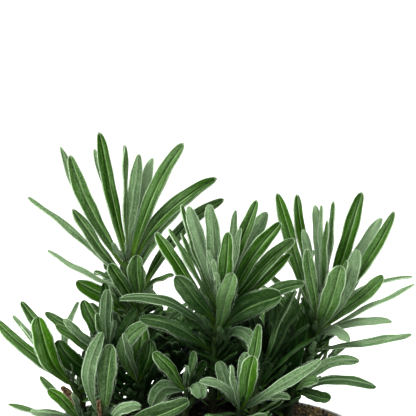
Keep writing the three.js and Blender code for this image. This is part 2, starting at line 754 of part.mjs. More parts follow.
// The soil: the pot's inside less the clearance, with its crumbly dome and the stems' holes.
function soilGeometry() {
  const shoulder = POT_HEIGHT - RIM_BAND;
  const inside = RIM_RADIUS - RIM_STEP - POT_WALL - SLOPE_CLEARANCE;
  const edge = soilEdgeRadius();
  const points = [
    new THREE.Vector2(0, POT_FLOOR + CLEARANCE),
    new THREE.Vector2(FOOT_RADIUS - POT_WALL - SLOPE_CLEARANCE, POT_FLOOR + CLEARANCE),
    new THREE.Vector2(inside, shoulder - SHOULDER_SLOPE),
    new THREE.Vector2(edge, shoulder + SHOULDER_SLOPE + CLEARANCE),
  ];
  for (let ring = SOIL_RINGS; ring >= 0; ring -= 1) {
    points.push(new THREE.Vector2((edge * ring) / SOIL_RINGS, POT_HEIGHT));
  }
  const block = standUp(new THREE.LatheGeometry(points, POT_SIDES));
  const place = block.attributes.position;
  for (let index = 0; index < place.count; index += 1) {
    if (place.getZ(index) < POT_HEIGHT - CLEARANCE) continue;
    place.setZ(index, soilHeight(place.getX(index), place.getY(index)));
  }
  let soil = toSolid(block);
  for (const stem of STEMS) {
    const foot = stem.path.getPoint(0);
    const depth = STEM_SUNK + CLEARANCE;
    const drill = upright(HOLE_RADIUS, depth * 2, HOLE_SIDES);
    drill.translate(foot.x, foot.y, foot.z);
    soil = soil.subtract(toSolid(drill));
  }
  return toGeometry(soil);
}

function named(name, geometry, color, roughness) {
  const material = new THREE.MeshStandardMaterial({ color, roughness, metalness: 0 });
  const mesh = new THREE.Mesh(geometry, material);
  mesh.name = name;
  return mesh;
}

function build() {
  prepareStems();
  const leaves = [];
  placeSeenLeaves(leaves);
  placeRuleLeaves(leaves);
  const plant = new THREE.Group();
  plant.add(named("pot", potGeometry(), POT_WHITE, 0.55));
  plant.add(named("soil", soilGeometry(), SOIL_BROWN, 0.95));
  for (const stem of STEMS) plant.add(named(stem.name, leafyStem(stem, leaves), GREEN, 0.7));
  return plant;
}

export default build();
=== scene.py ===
import itertools
import math
import random

import bmesh
import bpy
import numpy as np
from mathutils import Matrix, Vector, noise


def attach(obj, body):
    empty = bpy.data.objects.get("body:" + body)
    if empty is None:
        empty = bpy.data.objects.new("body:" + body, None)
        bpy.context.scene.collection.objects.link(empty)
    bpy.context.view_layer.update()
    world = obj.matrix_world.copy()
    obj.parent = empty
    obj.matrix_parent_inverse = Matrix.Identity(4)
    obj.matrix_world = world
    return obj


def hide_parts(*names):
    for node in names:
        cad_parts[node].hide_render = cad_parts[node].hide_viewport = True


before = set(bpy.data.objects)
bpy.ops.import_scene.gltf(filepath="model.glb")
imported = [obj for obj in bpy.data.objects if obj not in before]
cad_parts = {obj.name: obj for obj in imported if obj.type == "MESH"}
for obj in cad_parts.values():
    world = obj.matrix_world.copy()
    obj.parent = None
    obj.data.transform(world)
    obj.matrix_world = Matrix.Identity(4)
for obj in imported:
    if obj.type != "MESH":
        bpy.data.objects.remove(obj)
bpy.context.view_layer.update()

# A young English lavender in a round 13 cm nursery pot. The plant's rule works in millimetres,
# and the meshes are made in metres.
MM = 0.001

POT_HEIGHT = 104.0
RIM_RADIUS = 65.0
RIM_BAND = 10.0
RIM_STEP = 2.0
FOOT_RADIUS = 46.0
POT_WALL = 2.0
POT_FLOOR = 2.4
DRAIN_HOLES = 6
DRAIN_RADIUS = 4.5
DRAIN_CIRCLE = 29.0
SHOULDER = POT_HEIGHT - RIM_BAND
WALL_TOP = RIM_RADIUS - RIM_STEP

CLEARANCE = 0.3
SLOPE_CLEARANCE = 0.36
SOIL_EDGE = RIM_RADIUS - POT_WALL - CLEARANCE
SOIL_BELOW_RIM = 2.5
SOIL_CROWN = 8.0
CROWN_POWER = 2.4
CRUMB_HEIGHT = 0.7
CRUMB_POWER = 6
CRUMB_WAVES = {"x": 0.71, "y": 0.83, "slant_x": 0.37, "slant_y": 0.59, "shift": 1.3}

STEM_FOOT_RADIUS = 1.7
STEM_TIP_RADIUS = 0.9
STEM_SUNK = 9.0
STEM_START = 0.5
STEM_BEND_SHARE = 0.55
STEM_LEANS = {"right": 0.8}

ROOT_WIDTH_SHARE = 0.1
ROOT_OFFSET = 0.45
TOP_ROOT = 1.3
LOWEST_ROOT = 0.2
WIDEST_AT = 0.62
FLARE_POWER = 1.25
TIP_POWER = 2.2
BLUNT_TIP_POWER = 2.7
HALFWAY = 0.5
DEPTH_SPREAD = 0.75
TANGENT_STEP = 1e-4

CLEAR_OF_OTHERS = 2.7
CLEAR_OF_SISTERS = 1.9
CLEAR_OF_GROUND = 1.4
SOIL_MARGIN = 1.0
SAMPLE_STEP = 2.3
FEWEST_SAMPLES = 6
LAST_FRAME = 0.995
SAMPLE_ROWS = (-0.8, 0.0, 0.8)
ROOT_SHARE = 0.25

EYE_TILT = math.radians(8)
EYE_DISTANCE = 800.0
AIM = np.array([3.2, 0.0, 195.0])
AIM_RISE = 83.2
LOOK = np.array([0.0, math.cos(EYE_TILT), -math.sin(EYE_TILT)])
PICTURE_UP = np.array([0.0, math.sin(EYE_TILT), math.cos(EYE_TILT)])
PICTURE_RIGHT = np.array([1.0, 0.0, 0.0])
TO_EYE = -LOOK
EYE = AIM - LOOK * EYE_DISTANCE
UP = np.array([0.0, 0.0, 1.0])

# Each stem: name, foot (x, y), tip (across, up, y), compass range of its rule leaves, and the leaves
# placed one by one: mm below the stem's tip, tip across, tip up, mm nearer than the root, width, degrees
# that the face turns to the viewer, mm of arch, felt (0 green, 1 grey), tone.
# Tone makes each listed leaf lighter or darker: partly its own colour, partly painted light and shade.
STEMS = [
    ("tall_left", (-22, 16), (-30, 62, 12), (40, 140), [
        (3, -40.4, 113.6, -2, 5.8, 75, 0, 0.1, -0.1),
        (5, -52, 104.4, 3, 6.2, 80, -2.2, 0.5, 0),
        (8, -56, 107.6, -7, 4.6, 65, -2, 0.8, 0),
        (4, -42.4, 106.8, -8, 4, 40, 0, 0.7, 0.1),
        (1, -29.6, 108.4, 1, 5, 20, 0, 0.5, -0.1),
        (2, -24.4, 104.8, -5, 5.4, 75, 0.5, 0.9, 0),
        (4, -18.8, 103.2, -9, 5.2, 75, 1, 0.8, 0.2),
        (5, -6.6, 109.2, 2, 6.4, 70, 3.5, 0.3, -0.1),
        (7, 6.8, 95.2, 5, 6.4, 80, 6.5, 0.2, -0.2),
        (11, -7.6, 83.6, -3, 6, 60, 3, 0.6, -0.1),
        (20, 9.6, 86.8, -9, 5.5, 70, 6, 0.1, -0.5),
        (9.5, -50.8, 82.8, 6, 5.6, 55, -1, 0.4, -0.2),
        (12.4, -69, 87.2, -6, 4.5, 38, 1.2, 0.9, -0.05),
        (14.3, -61.2, 66, -3, 4, 35, -1.5, 1, 0.3),
        (16, -42.4, 58, 9, 4.5, 35, 1.5, 0.6, -0.1),
        (18, -10.4, 56.8, -5, 3.5, 30, 2, 0.3, -0.2),
        (23, -36, 60.8, 9, 6, 80, 0, 0.1, 0),
        (21, -25.4, 64.2, 12, 7, 80, 0, 0.4, 0.1),
        (29, -49.6, 53.8, 1, 7, 80, 1, 0, 0.1),
    ]),
    ("left_inner", (-34, 2), (-38, 25, -6), (60, 130), [
        (0, -37.2, 50.8, 1, 5, 80, 0, 0.8, -0.4),
        (1, -46.8, 46.4, -4, 5.8, 80, 0, 0.2, -0.2),
        (2, -62, 41.6, -5, 4.5, 70, 0, 0.3, -0.1),
        (3, -57.8, 36.4, 6, 4.2, 60, 0, 0.2, 0.2),
        (2, -54.6, 38.8, 1, 4, 60, 0, 0.8, -0.1),
        (1, -41.2, 41.2, 4, 3, 60, 0, 0.5, -0.2),
        (1, -34, 38.4, 3, 3, 60, 0, 0.8, -0.1),
        (15, -57.2, 30.2, 6, 7.6, 85, -3, 0.1, -0.25),
    ]),
    ("left_spray", (-47, -2), (-51.2, 13, -4), (110, 200), [
        (1, -82, 39, 4, 5.8, 60, -1, 0.3, 0.2),
        (0, -75.2, 40, -3, 4.5, 40, 0, 0.8, 0.2),
        (0, -71.6, 46, -8.4, 5, 80, 0, 0.2, -0.2),
        (1, -72, 36.4, 9, 2.6, 20, 0, 1, 0.2),
        (1, -64.8, 39.6, 6, 8.4, 88, -3.2, 0, 0.2),
        (0, -48.4, 45.6, -5, 4.2, 50, 4.5, 0.8, 0),
    ]),
    ("front_left", (-39, -30), (-38.5, 0, -30), (225, 290), [
        (1, -38.8, 33.6, 2, 5.6, 70, 5, 0.7, -0.3),
        (1, -36, 28.8, 5, 8, 80, 0, 0.6, -0.25),
    ]),
    ("hood", (-22, -12), (-25, 14, -10), (230, 300), [
        (0, -20.4, 37.4, 5, 6.8, 60, 8.6, 0.6, 0),
        (0, -24, 36.4, -6, 8, 85, 0, 0, 0),
        (1, -30.8, 33.2, 6, 3, 40, 0, 0.8, 0),
        (1, -20, 30.4, -1, 7, 85, 0, 0, -0.6),
    ]),
    ("centre", (5, -8), (8.4, 46, -14), (40, 140), [
        (8, -17.6, 73.6, 3, 5.6, 80, -1, 0.1, 0.05),
        (6, -12.4, 75.2, 0, 4, 30, 0, 0.5, 0),
        (5, -7.6, 73.2, -4, 3, 25, 0, 0.5, 0),
        (4, -7.2, 84.8, -6, 4.5, 45, -1, 0.3, 0.1),
        (3, -4.8, 84, -11, 6, 70, 0, 0.9, 0.1),
        (4, 3.6, 84.8, 2, 6, 85, 0, 1, 0),
        (8, 11.2, 73.6, 8, 6, 85, 0, 0.15, 0.1),
        (1, 14.4, 82.4, -7, 3.5, 60, 0, 0.8, 0.1),
        (3, 22.8, 86.4, -10, 5.4, 75, 1, 0, 0.1),
        (5, 16.4, 75.2, 3, 3.5, 40, 0, 0.9, 0.1),
        (5, 26.8, 81.6, -3, 7, 80, 1.5, 0.8, -0.1),
        (8, 32.4, 77.6, -6, 6.2, 80, 2, 0.1, -0.1),
        (11, 38, 70.8, 2, 6, 75, 3, 0.2, -0.1),
        (13, 36.4, 65.2, -4, 5, 60, 1.5, 0.1, 0),
        (15, 12.8, 57.2, 13, 7, 80, 0, 0.62, 0.4),
        (14.5, 42, 53.2, 3, 5.8, 60, 4.6, 0.5, -0.5),
        (15, 32.4, 48.4, 8, 9.5, 85, 3, 0.5, -0.8),
        (19, 22.4, 24, 15, 5.5, 60, 7, 0.9, -0.3),
        (17.5, -32.4, 46.4, 8, 5, 50, 6.4, 0.9, -0.6),
        (23.5, -24.4, 39.2, 8, 6, 60, 2.6, 0.6, -0.7),
        (10, -10, 55.6, 7, 7.2, 85, 0, 0.6, -0.6),
        (16, -7.2, 42.8, 4, 5, 60, 0, 0.5, -0.1),
    ]),
    ("right", (33, 3), (49.2, 45, 2), (30, 130), [
        (8, 30.8, 89.2, 3, 5.6, 70, -1, 0.2, 0.1),
        (5, 38.8, 88.8, -3, 5.2, 60, -1, 0.1, 0.1),
        (2, 46, 84.4, -9, 4.6, 80, 0, 1, 0.2),
        (0, 48.8, 84.4, -4, 3, 40, 0, 0.8, 0.1),
        (0, 50.8, 78.4, 0, 2.6, 50, 0, 0.4, 0),
        (2, 53.2, 86, -6, 4, 30, 0, 0.5, 0),
        (5, 64.8, 89.6, -2, 6.2, 80, 0, 0.1, -0.1),
        (8, 72.8, 79.2, -7, 5.6, 80, 1, 0.8, 0.3),
        (10, 77.6, 82, 1, 5.4, 60, -1.6, 0.3, 0),
        (7, 41.2, 74.8, 3, 4.2, 60, 0, 0.9, 0.1),
        (11, 42.8, 66.8, 7, 5, 80, 0, 0.5, 0),
        (15, 56.4, 60, 13, 8.4, 88, 0, 0.45, 0.2),
        (12, 63, 66.8, 5, 6.2, 85, -2.4, 0.8, 0.1),
        (9, 58.8, 62.4, 9, 3.4, 60, 0, 0.6, 0),
        (12, 67.2, 63.6, 7, 3.6, 35, -2, 0.7, 0.1),
        (12, 73.2, 56.4, -1, 5.8, 75, -1, 0.4, 0.1),
        (10, 85.2, 55.2, -8, 3, 30, 5, 0.8, 0.2),
        (14, 86, 52.4, 3, 3.4, 30, 0, 0.7, 0.1),
        (13, 76.8, 37.4, 1, 4.4, 50, 1.6, 0.9, 0.2),
        (15, 59.6, 29.6, 9, 5, 60, 3, 0.9, 0.3),
        (21, 84.8, 32.6, 3, 4.2, 40, -1, 0.85, 0.1),
        (12, 34.4, 66, -10, 4.6, 60, 2.5, 0.3, -0.2),
        (23, 28, 56.4, -5, 4.4, 50, 4, 0.4, -0.1),
    ]),
    ("right_low", (35, -12), (38.4, 11, -12), (40, 110), [
        (0, 63.8, 22, -1, 4.8, 60, 4.2, 0.8, -0.2),
        (1, 70.4, 11.2, 4, 5, 60, 3.5, 0.8, -0.8),
        (2, 52.4, 7, 8, 5, 80, 0.6, 0.5, -0.95),
        (0, 47.2, 14, 9, 5, 40, 2, 0.6, 0),
    ]),
    ("front", (15, -36), (16, 3, -36), (240, 300), [
        (0, 21.2, 24, 5, 7, 88, 0, 0.1, 0.4),
        (0, 18.4, 25.6, -1, 5, 70, 0, 0.9, 0.1),
        (0, 12, 20.4, 4, 3, 40, 0, 0.8, 0),
        (0, 7.2, 21.8, -3, 5.6, 80, 0, 0.9, -0.35),
        (1, -0.4, 13.6, 6, 3.8, 50, 4, 0.8, 0.1),
        (1, 48.4, 22.4, 5, 4.6, 60, 0, 0.8, -0.1),
        (1, 36, 7, -5, 4.6, 50, 3, 0.7, -0.35),
        (0, 23.6, 36.8, -6, 4.6, 80, 0, 0.3, 0),
    ]),
    ("front_inner", (-6, -24), (-4.8, 11, -24), (250, 310), [
        (0, -18.4, 25.6, 3, 5.4, 85, 0, 0.25, 0),
        (0, -19.2, 4, 6, 7, 80, 4, 0.9, -0.4),
        (0, -2.4, 26, 0, 3.4, 60, 0, 0.5, -0.3),
        (0, -5.2, 20.4, 3, 2.6, 60, 0, 0.7, 0),
        (1, 2, 22, -3, 4, 80, 0, 0.2, -0.4),
        (0, 0, 6.8, 14, 7, 60, 3.6, 0.9, 0.1),
    ]),
    ("low_left", (-46.4, -23.4), (-46, -2, -24), (190, 240), [
        (0, -64, 16, -3, 4, 40, 0, 0.5, 0.1),
        (0, -61, 10.4, 3, 4.8, 80, 1, 0.1, 0.5),
        (1, -76.8, 4.8, 4, 2.8, 40, 0, 0.6, 0.2),
        (1, -68, 1.5, 9, 4, 50, 1, 1, 0.2),
        (0, -51.2, 9.2, 1, 2.4, 60, 0, 0.8, 0),
    ]),
    ("low_front", (-35, -41), (-37, -6, -43), (230, 310), [
        (0, -23.5, 3.4, -2, 4.8, 60, 4.4, 1, 0.1),
        (1, -4.4, 6.2, 2, 7, 85, 0, 0.5, -0.6),
    ]),
    ("back_left", (-28, 36), (-31, 42, 36), (0, 360), []),
    ("back_middle", (6.4, 34), (9, 40, 34), (0, 360), []),
    ("back_right", (31.5, 30.5), (38, 36, 32), (0, 360), []),
    ("inner_back", (24, 12), (27, 30, 14), (0, 360), []),
    ("far_middle", (-10, 50), (-12, 26, 54), (0, 180), []),
    ("far_right", (24, 48), (27, 24, 53), (0, 180), []),
    ("side_left", (-44, 31), (-45, 19, 34), (20, 160), []),
    ("inner_left", (-9, 6), (-10, 24, 8), (0, 360), []),
    ("inner_middle", (12, 17), (12, 30, 19), (0, 360), []),
    ("inner_front", (21, -16), (25, 18, -14), (20, 180), []),
    ("inner_right", (27, -6), (30, 28, -6), (0, 360), []),
    ("left_back", (-37, 18), (-39, 27, 20), (0, 360), []),
    ("mid_left", (-13, 27), (-13, 30, 29), (0, 360), []),
    ("side_right", (40, 39), (51, 22, 32), (20, 140), []),
    ("front_edge", (-3, -49), (-3, -8, -52), (200, 340), []),
    ("front_right", (22, -46), (25, -8, -49), (180, 360), []),
]

# Outline of the dense foliage as seen from the front; leaves of the rule stay behind it.
DENSE_OUTLINE = (
    (-52, -1), (-51, 14), (-44, 30), (-46, 46), (-38, 62), (-23, 62), (-15, 44), (-2, 48), (8, 62),
    (20, 56), (34, 48), (42, 60), (47, 76), (55, 76), (59, 52), (54, 32), (50, 22), (49, 12), (40, 8),
    (38, -1),
)

# Nearer than the front plane the leaves of the rule stay low, under the listed leaves.
FRONT_PLANE = -20.0
LOW_LINE = 2.0

RULE_SEED = 20417
SEED_FACTOR = 16807
SEED_RANGE = 2147483647
PAIR_STEP = 4.1
PAIR_TURN = 90
TURN_WANDER = 12
RULE_LENGTH = (27, 38)
RULE_WIDTH = (4.6, 6.4)
RULE_PITCH = (22, 74)
RULE_DROOP = 0.09
LOWEST_PAIR = 4
FEWEST_PAIRS = 3
BELOW_SEEN = 7
DEPTH_TRIES = (0, 4, -4, 8, -8, 12, -12, 16, -16, 20, -20)
LENGTH_TRIES = (1, 0.8, 0.62)
PITCH_TRIES = (0, 10, -10, 22)
TURN_TRIES = (0, 18, -18, 36, -36, 56, -56)

# How much shade is painted into the foliage's colour: reach of the crowd round a point, its weight
# outside and in the thick, the heights between which light comes in, and the stems that stand in the
# open.
CROWD_REACH = 8.0
CROWD_ABOVE = (0.8, 0.2, 1.8)
CROWD_THIN, CROWD_THICK = 25.0, 190.0
LOW_FOLIAGE, HIGH_FOLIAGE = 128.0, 172.0
HIGH_LIGHT = 0.5
SEEN_DEPTH = 0.8
RULE_DEPTH = 1.3
LEAST_DEPTH = 0.3
OPEN_STEMS = {"right": 0.32, "tall_left": 0.42, "left_spray": 0.6}


class Draws:
    """Park and Miller's generator, the same numbers each time."""

    def __init__(self, seed):
        self.seed = seed

    def draw(self, low, high):
        self.seed = (self.seed * SEED_FACTOR) % SEED_RANGE
        return low + (high - low) * self.seed / SEED_RANGE


def unit(vectors):
    return vectors / np.linalg.norm(vectors, axis=-1, keepdims=True)


class Bend:
    """A quadratic curve through a start and an end, pulled towards a middle point."""

    def __init__(self, start, middle, end):
        self.start, self.middle, self.end = start, middle, end

    def points(self, shares):
        t = np.atleast_1d(np.asarray(shares, dtype=float))[:, None]
        k = 1 - t
        return k * k * self.start + 2 * k * t * self.middle + t * t * self.end

    def tangents(self, shares):
        shares = np.asarray(shares, dtype=float)
        ahead = self.points(np.minimum(1, shares + TANGENT_STEP))
        return unit(ahead - self.points(np.maximum(0, shares - TANGENT_STEP)))

    def length(self, steps=200):
        places = self.points(np.arange(steps + 1) / steps)
        return float(np.linalg.norm(np.diff(places, axis=0), axis=1).sum())


def seen(across, up, y):
    """The point at depth y that the photograph shows at this place."""
    ray = LOOK + PICTURE_RIGHT * ((across - AIM[0]) / EYE_DISTANCE)
    ray = ray + PICTURE_UP * ((up - AIM_RISE) / EYE_DISTANCE)
    return EYE + ray * ((y - EYE[1]) / ray[1])


def pictured(points):
    """Where the photograph shows these points."""
    ray = points - EYE
    scale = EYE_DISTANCE / (ray @ LOOK)
    return AIM[0] + ray[:, 0] * scale, AIM_RISE + (ray @ PICTURE_UP) * scale


def soil_height(x, y):
    share = np.minimum(1, np.hypot(x, y) / SOIL_EDGE)
    dome = POT_HEIGHT - SOIL_BELOW_RIM + SOIL_CROWN * (1 - share ** CROWN_POWER)
    wave = CRUMB_WAVES
    bumps = np.sin(wave["x"] * x + wave["shift"]) * np.cos(wave["y"] * y)
    slants = np.sin(wave["slant_x"] * x - wave["slant_y"] * y)
    return dome + CRUMB_HEIGHT * (bumps + slants) * (1 - share ** CRUMB_POWER)


def stem_radius(share):
    return STEM_FOOT_RADIUS + (STEM_TIP_RADIUS - STEM_FOOT_RADIUS) * share


class Stem:
    by_eye = False
    least_depth = 0.0

    def __init__(self, number, name, foot, tip, turns, rows):
        self.number, self.name, self.turns, self.rows = number, name, turns, rows
        self.open_share = OPEN_STEMS.get(name, 1.0)
        start = np.array([*foot, float(soil_height(*foot)) + STEM_START])
        end = seen(*tip)
        lean = STEM_LEANS.get(name, 0.0)
        bend = start + (end - start) * np.array([lean, lean, STEM_BEND_SHARE])
        self.path = Bend(start, bend, end)
        self.length = self.path.length()
        count = math.ceil(self.length / SAMPLE_STEP)
        self.depth_at = np.arange(count + 1) / count
        self.samples = self.spine = self.path.points(self.depth_at)

    def root_share(self, below):
        return max(LOWEST_ROOT, 1 - max(below, TOP_ROOT) / self.length)

    def root(self, share, outward):
        """Where a leaf that points outward joins the stem."""
        return self.path.points(share)[0] + outward * (stem_radius(share) * ROOT_OFFSET)


def blade_half(width, share, tip_power=TIP_POWER):
    grown = np.sin((math.pi / 2) * np.minimum(1, share / WIDEST_AT)) ** FLARE_POWER
    past = np.maximum(0, (share - WIDEST_AT) / (1 - WIDEST_AT))
    root = ROOT_WIDTH_SHARE + (1 - ROOT_WIDTH_SHARE) * grown
    return (width / 2) * root * np.sqrt(np.maximum(0, 1 - past ** tip_power))


class Leaf:
    def __init__(self, stem, curve, width, facing, by_eye=False):
        self.stem, self.curve, self.width, self.facing = stem, curve, width, facing
        self.by_eye, self.open_share = by_eye, stem.open_share
        self.least_depth = 0.0 if by_eye else LEAST_DEPTH
        self.length = curve.length()
        steps = max(FEWEST_SAMPLES, math.ceil(self.length / SAMPLE_STEP))
        self.depth_at = np.arange(1, steps + 1) / steps
        self.spine, sides, _ = self.frames(np.minimum(self.depth_at, LAST_FRAME))
        halves = blade_half(width, self.depth_at)
        rows = [self.spine + sides * (row * halves)[:, None] for row in SAMPLE_ROWS]
        self.samples = np.concatenate(rows)
        self.shares = np.tile(self.depth_at, len(SAMPLE_ROWS))
        self.outer = self.samples[self.shares > ROOT_SHARE]

    def frames(self, shares):
        """Middle, side and upper directions of the blade at shares of its length."""
        along = self.curve.tangents(shares)
        upper = unit(self.facing - along * (along @ self.facing)[:, None])
        return self.curve.points(shares), np.cross(along, upper), upper

    def look(self, felt, tone, *depth):
        """Sets felt and tone, and the painted shade from how deep in the foliage it lies, from root to
        tip.
        """
        self.felt, self.tone = felt, tone
        if depth:
            self.depth_at, self.depth = np.linspace(0, 1, len(depth)), np.array(depth)


def keeps_behind(leaf):
    beyond_root = leaf.samples[leaf.shares >= ROOT_SHARE]
    across, up = pictured(beyond_root)
    inside = np.zeros(len(across), dtype=bool)
    for (x, y), (next_x, next_y) in zip(DENSE_OUTLINE, DENSE_OUTLINE[1:] + DENSE_OUTLINE[:1]):
        if y == next_y:
            continue
        crosses = (y > up) != (next_y > up)
        inside ^= crosses & (across < x + (next_x - x) * (up - y) / (next_y - y))
    inside &= (beyond_root[:, 1] > FRONT_PLANE) | (up < LOW_LINE)
    return bool(np.all(inside | (up < 0)))


def in_ground(leaf):
    x, y, z = leaf.outer.T
    radius = np.hypot(x, y)
    top = np.where(radius < SOIL_EDGE - SOIL_MARGIN, soil_height(x, y), POT_HEIGHT)
    low = z < top + CLEAR_OF_GROUND
    return bool(np.any(low & (radius <= RIM_RADIUS + CLEAR_OF_GROUND)))


def nearest(these, those):
    if not len(these) or not len(those):
        return math.inf
    gaps = these[:, None, :] - those[None, :, :]
    return math.sqrt(float((gaps * gaps).sum(axis=2).min()))


class Standing:
    """All that already stands: the stems, and the leaves as they are placed."""

    def __init__(self, stems):
        self.points = np.concatenate([stem.samples for stem in stems])
        self.owner = np.concatenate([np.full(len(stem.samples), stem.number) for stem in stems])
        self.share = np.full(len(self.points), -1.0)

    def add(self, leaf):
        self.points = np.concatenate([self.points, leaf.samples])
        self.owner = np.append(self.owner, np.full(len(leaf.samples), leaf.stem.number))
        self.share = np.append(self.share, leaf.shares)

    def clear_of(self, leaf):
        if in_ground(leaf):
            return False
        low = leaf.samples.min(axis=0) - CLEAR_OF_OTHERS
        high = leaf.samples.max(axis=0) + CLEAR_OF_OTHERS
        near = np.all((self.points > low) & (self.points < high), axis=1)
        mine = self.owner == leaf.stem.number
        sisters = self.points[near & mine & (self.share > ROOT_SHARE)]
        if nearest(leaf.samples, self.points[near & ~mine]) < CLEAR_OF_OTHERS:
            return False
        return nearest(leaf.outer, sisters) >= CLEAR_OF_SISTERS


def seen_leaf(stem, row, step_aside):
    below, across, up, nearer, width, turned, arch = row[:7]
    share = stem.root_share(below)
    middle = stem.path.points(share)[0]
    tip = seen(across, up, middle[1] - nearer + step_aside)
    tangent = stem.path.tangents(share)[0]
    outward = tip - middle
    root = stem.root(share, unit(outward - tangent * (outward @ tangent)))
    chord = tip - root
    above = np.cross(unit(chord - LOOK * (chord @ LOOK)), TO_EYE)
    if above[2] < 0:
        above = -above
    bend = root + chord * HALFWAY + above * (2 * arch)
    bend = bend + LOOK * ((DEPTH_SPREAD - HALFWAY) * (chord @ LOOK))
    angle = math.radians(turned)
    facing = above * math.cos(angle) + TO_EYE * math.sin(angle)
    return Leaf(stem, Bend(root, bend, tip), width, facing, by_eye=True)


def rule_leaf(stem, share, turn, pitch, length, width):
    azimuth, lean = math.radians(turn), math.radians(pitch)
    outward = np.array([math.cos(azimuth), math.sin(azimuth), 0.0])
    root = stem.root(share, outward)
    tip = root + outward * (length * math.sin(lean)) + UP * (length * math.cos(lean))
    bend = root + (tip - root) * HALFWAY + UP * (length * RULE_DROOP * 2 * math.sin(lean))
    bend = bend - outward * (length * RULE_DROOP * math.cos(lean))
    return Leaf(stem, Bend(root, bend, tip), width, UP)


def place_seen_leaves(stems, standing):
    for stem in stems:
        for row in stem.rows:
            tries = (seen_leaf(stem, row, step_aside) for step_aside in DEPTH_TRIES)
            leaf = next(filter(standing.clear_of, tries), None)
            if leaf:
                leaf.look(*row[7:])
                standing.add(leaf)
                yield leaf


def clear_rule_leaf(stem, standing, share, turn, pitch, length, width):
    for shorter, lower, aside in itertools.product(LENGTH_TRIES, PITCH_TRIES, TURN_TRIES):
        leaf = rule_leaf(stem, share, turn + aside, pitch + lower, length * shorter, width)
        if keeps_behind(leaf) and standing.clear_of(leaf):
            return leaf
    return None


def place_rule_leaves(stems, standing):
    draws = Draws(RULE_SEED)
    for stem in stems:
        first, last = stem.turns
        topmost = BELOW_SEEN if stem.rows else 0
        leafy = stem.length - topmost - LOWEST_PAIR
        pairs = max(FEWEST_PAIRS, math.floor(leafy / PAIR_STEP))
        turn = draws.draw(0, 360)
        for pair in range(pairs):
            turn += PAIR_TURN + draws.draw(-TURN_WANDER, TURN_WANDER)
            share = stem.root_share(topmost + pair * PAIR_STEP)
            pitch = RULE_PITCH[0] + (RULE_PITCH[1] - RULE_PITCH[0]) * pair / pairs
            for half in (0, 180):
                length = draws.draw(*RULE_LENGTH)
                width = draws.draw(*RULE_WIDTH)
                squeezed = first + (last - first) * ((turn + half) % 360) / 360
                leaf = clear_rule_leaf(stem, standing, share, squeezed, pitch, length, width)
                if leaf:
                    standing.add(leaf)
                    yield leaf


def set_painted_shade(stems, leaves):
    """How much shade to paint on each leaf and stem by how deep in the foliage it lies, from 0 outside to
    1 in its thick.
    """
    owners = leaves + stems
    points = np.concatenate([owner.samples for owner in owners])
    owner_of = np.concatenate([np.full(len(o.samples), i) for i, o in enumerate(owners)])
    slope, least, most = CROWD_ABOVE
    for index, owner in enumerate(owners):
        gaps = points[None, :, :] - owner.spine[:, None, :]
        weight = np.exp(-(gaps ** 2).sum(axis=2) / (2 * CROWD_REACH ** 2))
        weight *= np.clip(1 + slope * gaps[:, :, 2] / CROWD_REACH, least, most)
        weight[:, owner_of == index] = 0
        crowd = (weight.sum(axis=1) - CROWD_THIN) / (CROWD_THICK - CROWD_THIN)
        crowd *= owner.open_share * (SEEN_DEPTH if owner.by_eye else RULE_DEPTH)
        height = np.clip((owner.spine[:, 2] - LOW_FOLIAGE) / (HIGH_FOLIAGE - LOW_FOLIAGE), 0, 1)
        owner.depth = np.clip(crowd, owner.least_depth, 1) * (1 - HIGH_LIGHT * height)


class Pile:
    """Gathers points, faces and per-point facts, and makes one mesh object of them."""

    def __init__(self):
        self.points, self.faces, self.facts, self.looks = [], [], [], []
        self.count = 0

    def add(self, points, faces, facts=0.0, looks=0.0):
        """faces is a list of arrays, each of faces with the same number of corners."""
        self.points.append(points)
        self.facts.append(np.broadcast_to(facts, (len(points), 3)))
        self.looks.append(np.broadcast_to(looks, (len(points), 3)))
        for block in faces:
            self.faces += (block + self.count).tolist()
        self.count += len(points)

    def to_object(self, name, material, smooth=True):
        mesh = bpy.data.meshes.new(name)
        mesh.from_pydata(np.concatenate(self.points) * MM, [], self.faces, shade_flat=not smooth)
        for label, values in (("blade", self.facts), ("look", self.looks)):
            layer = mesh.attributes.new(label, "FLOAT_VECTOR", "POINT")
            layer.data.foreach_set("vector", np.concatenate(values).astype(np.float32).ravel())
        mesh.materials.append(material)
        thing = bpy.data.objects.new(name, mesh)
        bpy.context.scene.collection.objects.link(thing)
        return thing


def tube_faces(rings, around):
    """Quads between rings of points numbered one after the other, and a cap at each end."""
    ring = np.arange(rings - 1)[:, None] * around
    here = np.arange(around)[None, :]
    after = (here + 1) % around
    quads = np.stack([ring + here, ring + after, ring + around + after, ring + around + here], axis=2)
    return [quads.reshape(-1, 4), here[:, ::-1], here + (rings - 1) * around]


def swept(middles, first, second, across, up):
    """Points of a section at each middle, measured across and up along its two directions."""
    points = middles[:, None, :] + first[:, None, :] * across[:, :, None]
    return (points + second[:, None, :] * up[:, :, None]).reshape(-1, 3)


# Section of a fine blade, and how its outline and length wander. A grid is stations along the
# blade, points across its top and points across its underside.
THIN_BLADE = 0.36
RIB_RIDGE, RIB_WIDTH = 0.42, 0.5
GROOVE_DEPTH, GROOVE_WIDTH = 0.24, 0.3
MARGIN_ROLL, MARGIN_FROM = 0.65, 0.78
FOLD_SHARE, FOLD_POWER = 0.19, 1.4
CUSHION = 0.3
TO_MARGIN = 0.35
UNDER_REACH = 0.93
FULL_FROM, LEAST_FULL = 0.3, 0.12
LAST_STATION, TIP_CROWDING = 0.997, 1.6
TWIST = 16
LONG_RIPPLE = (10, 0.06)
SHORT_RIPPLE = (25, 0.045)
LIFT = (15, 0.42)
SWAY = (5, 0.5)
LUCK = 0.2
BLADE_UNDER = 0.7
SEEN_GRID = (30, 15, 11)
RULE_GRID = (18, 11, 7)


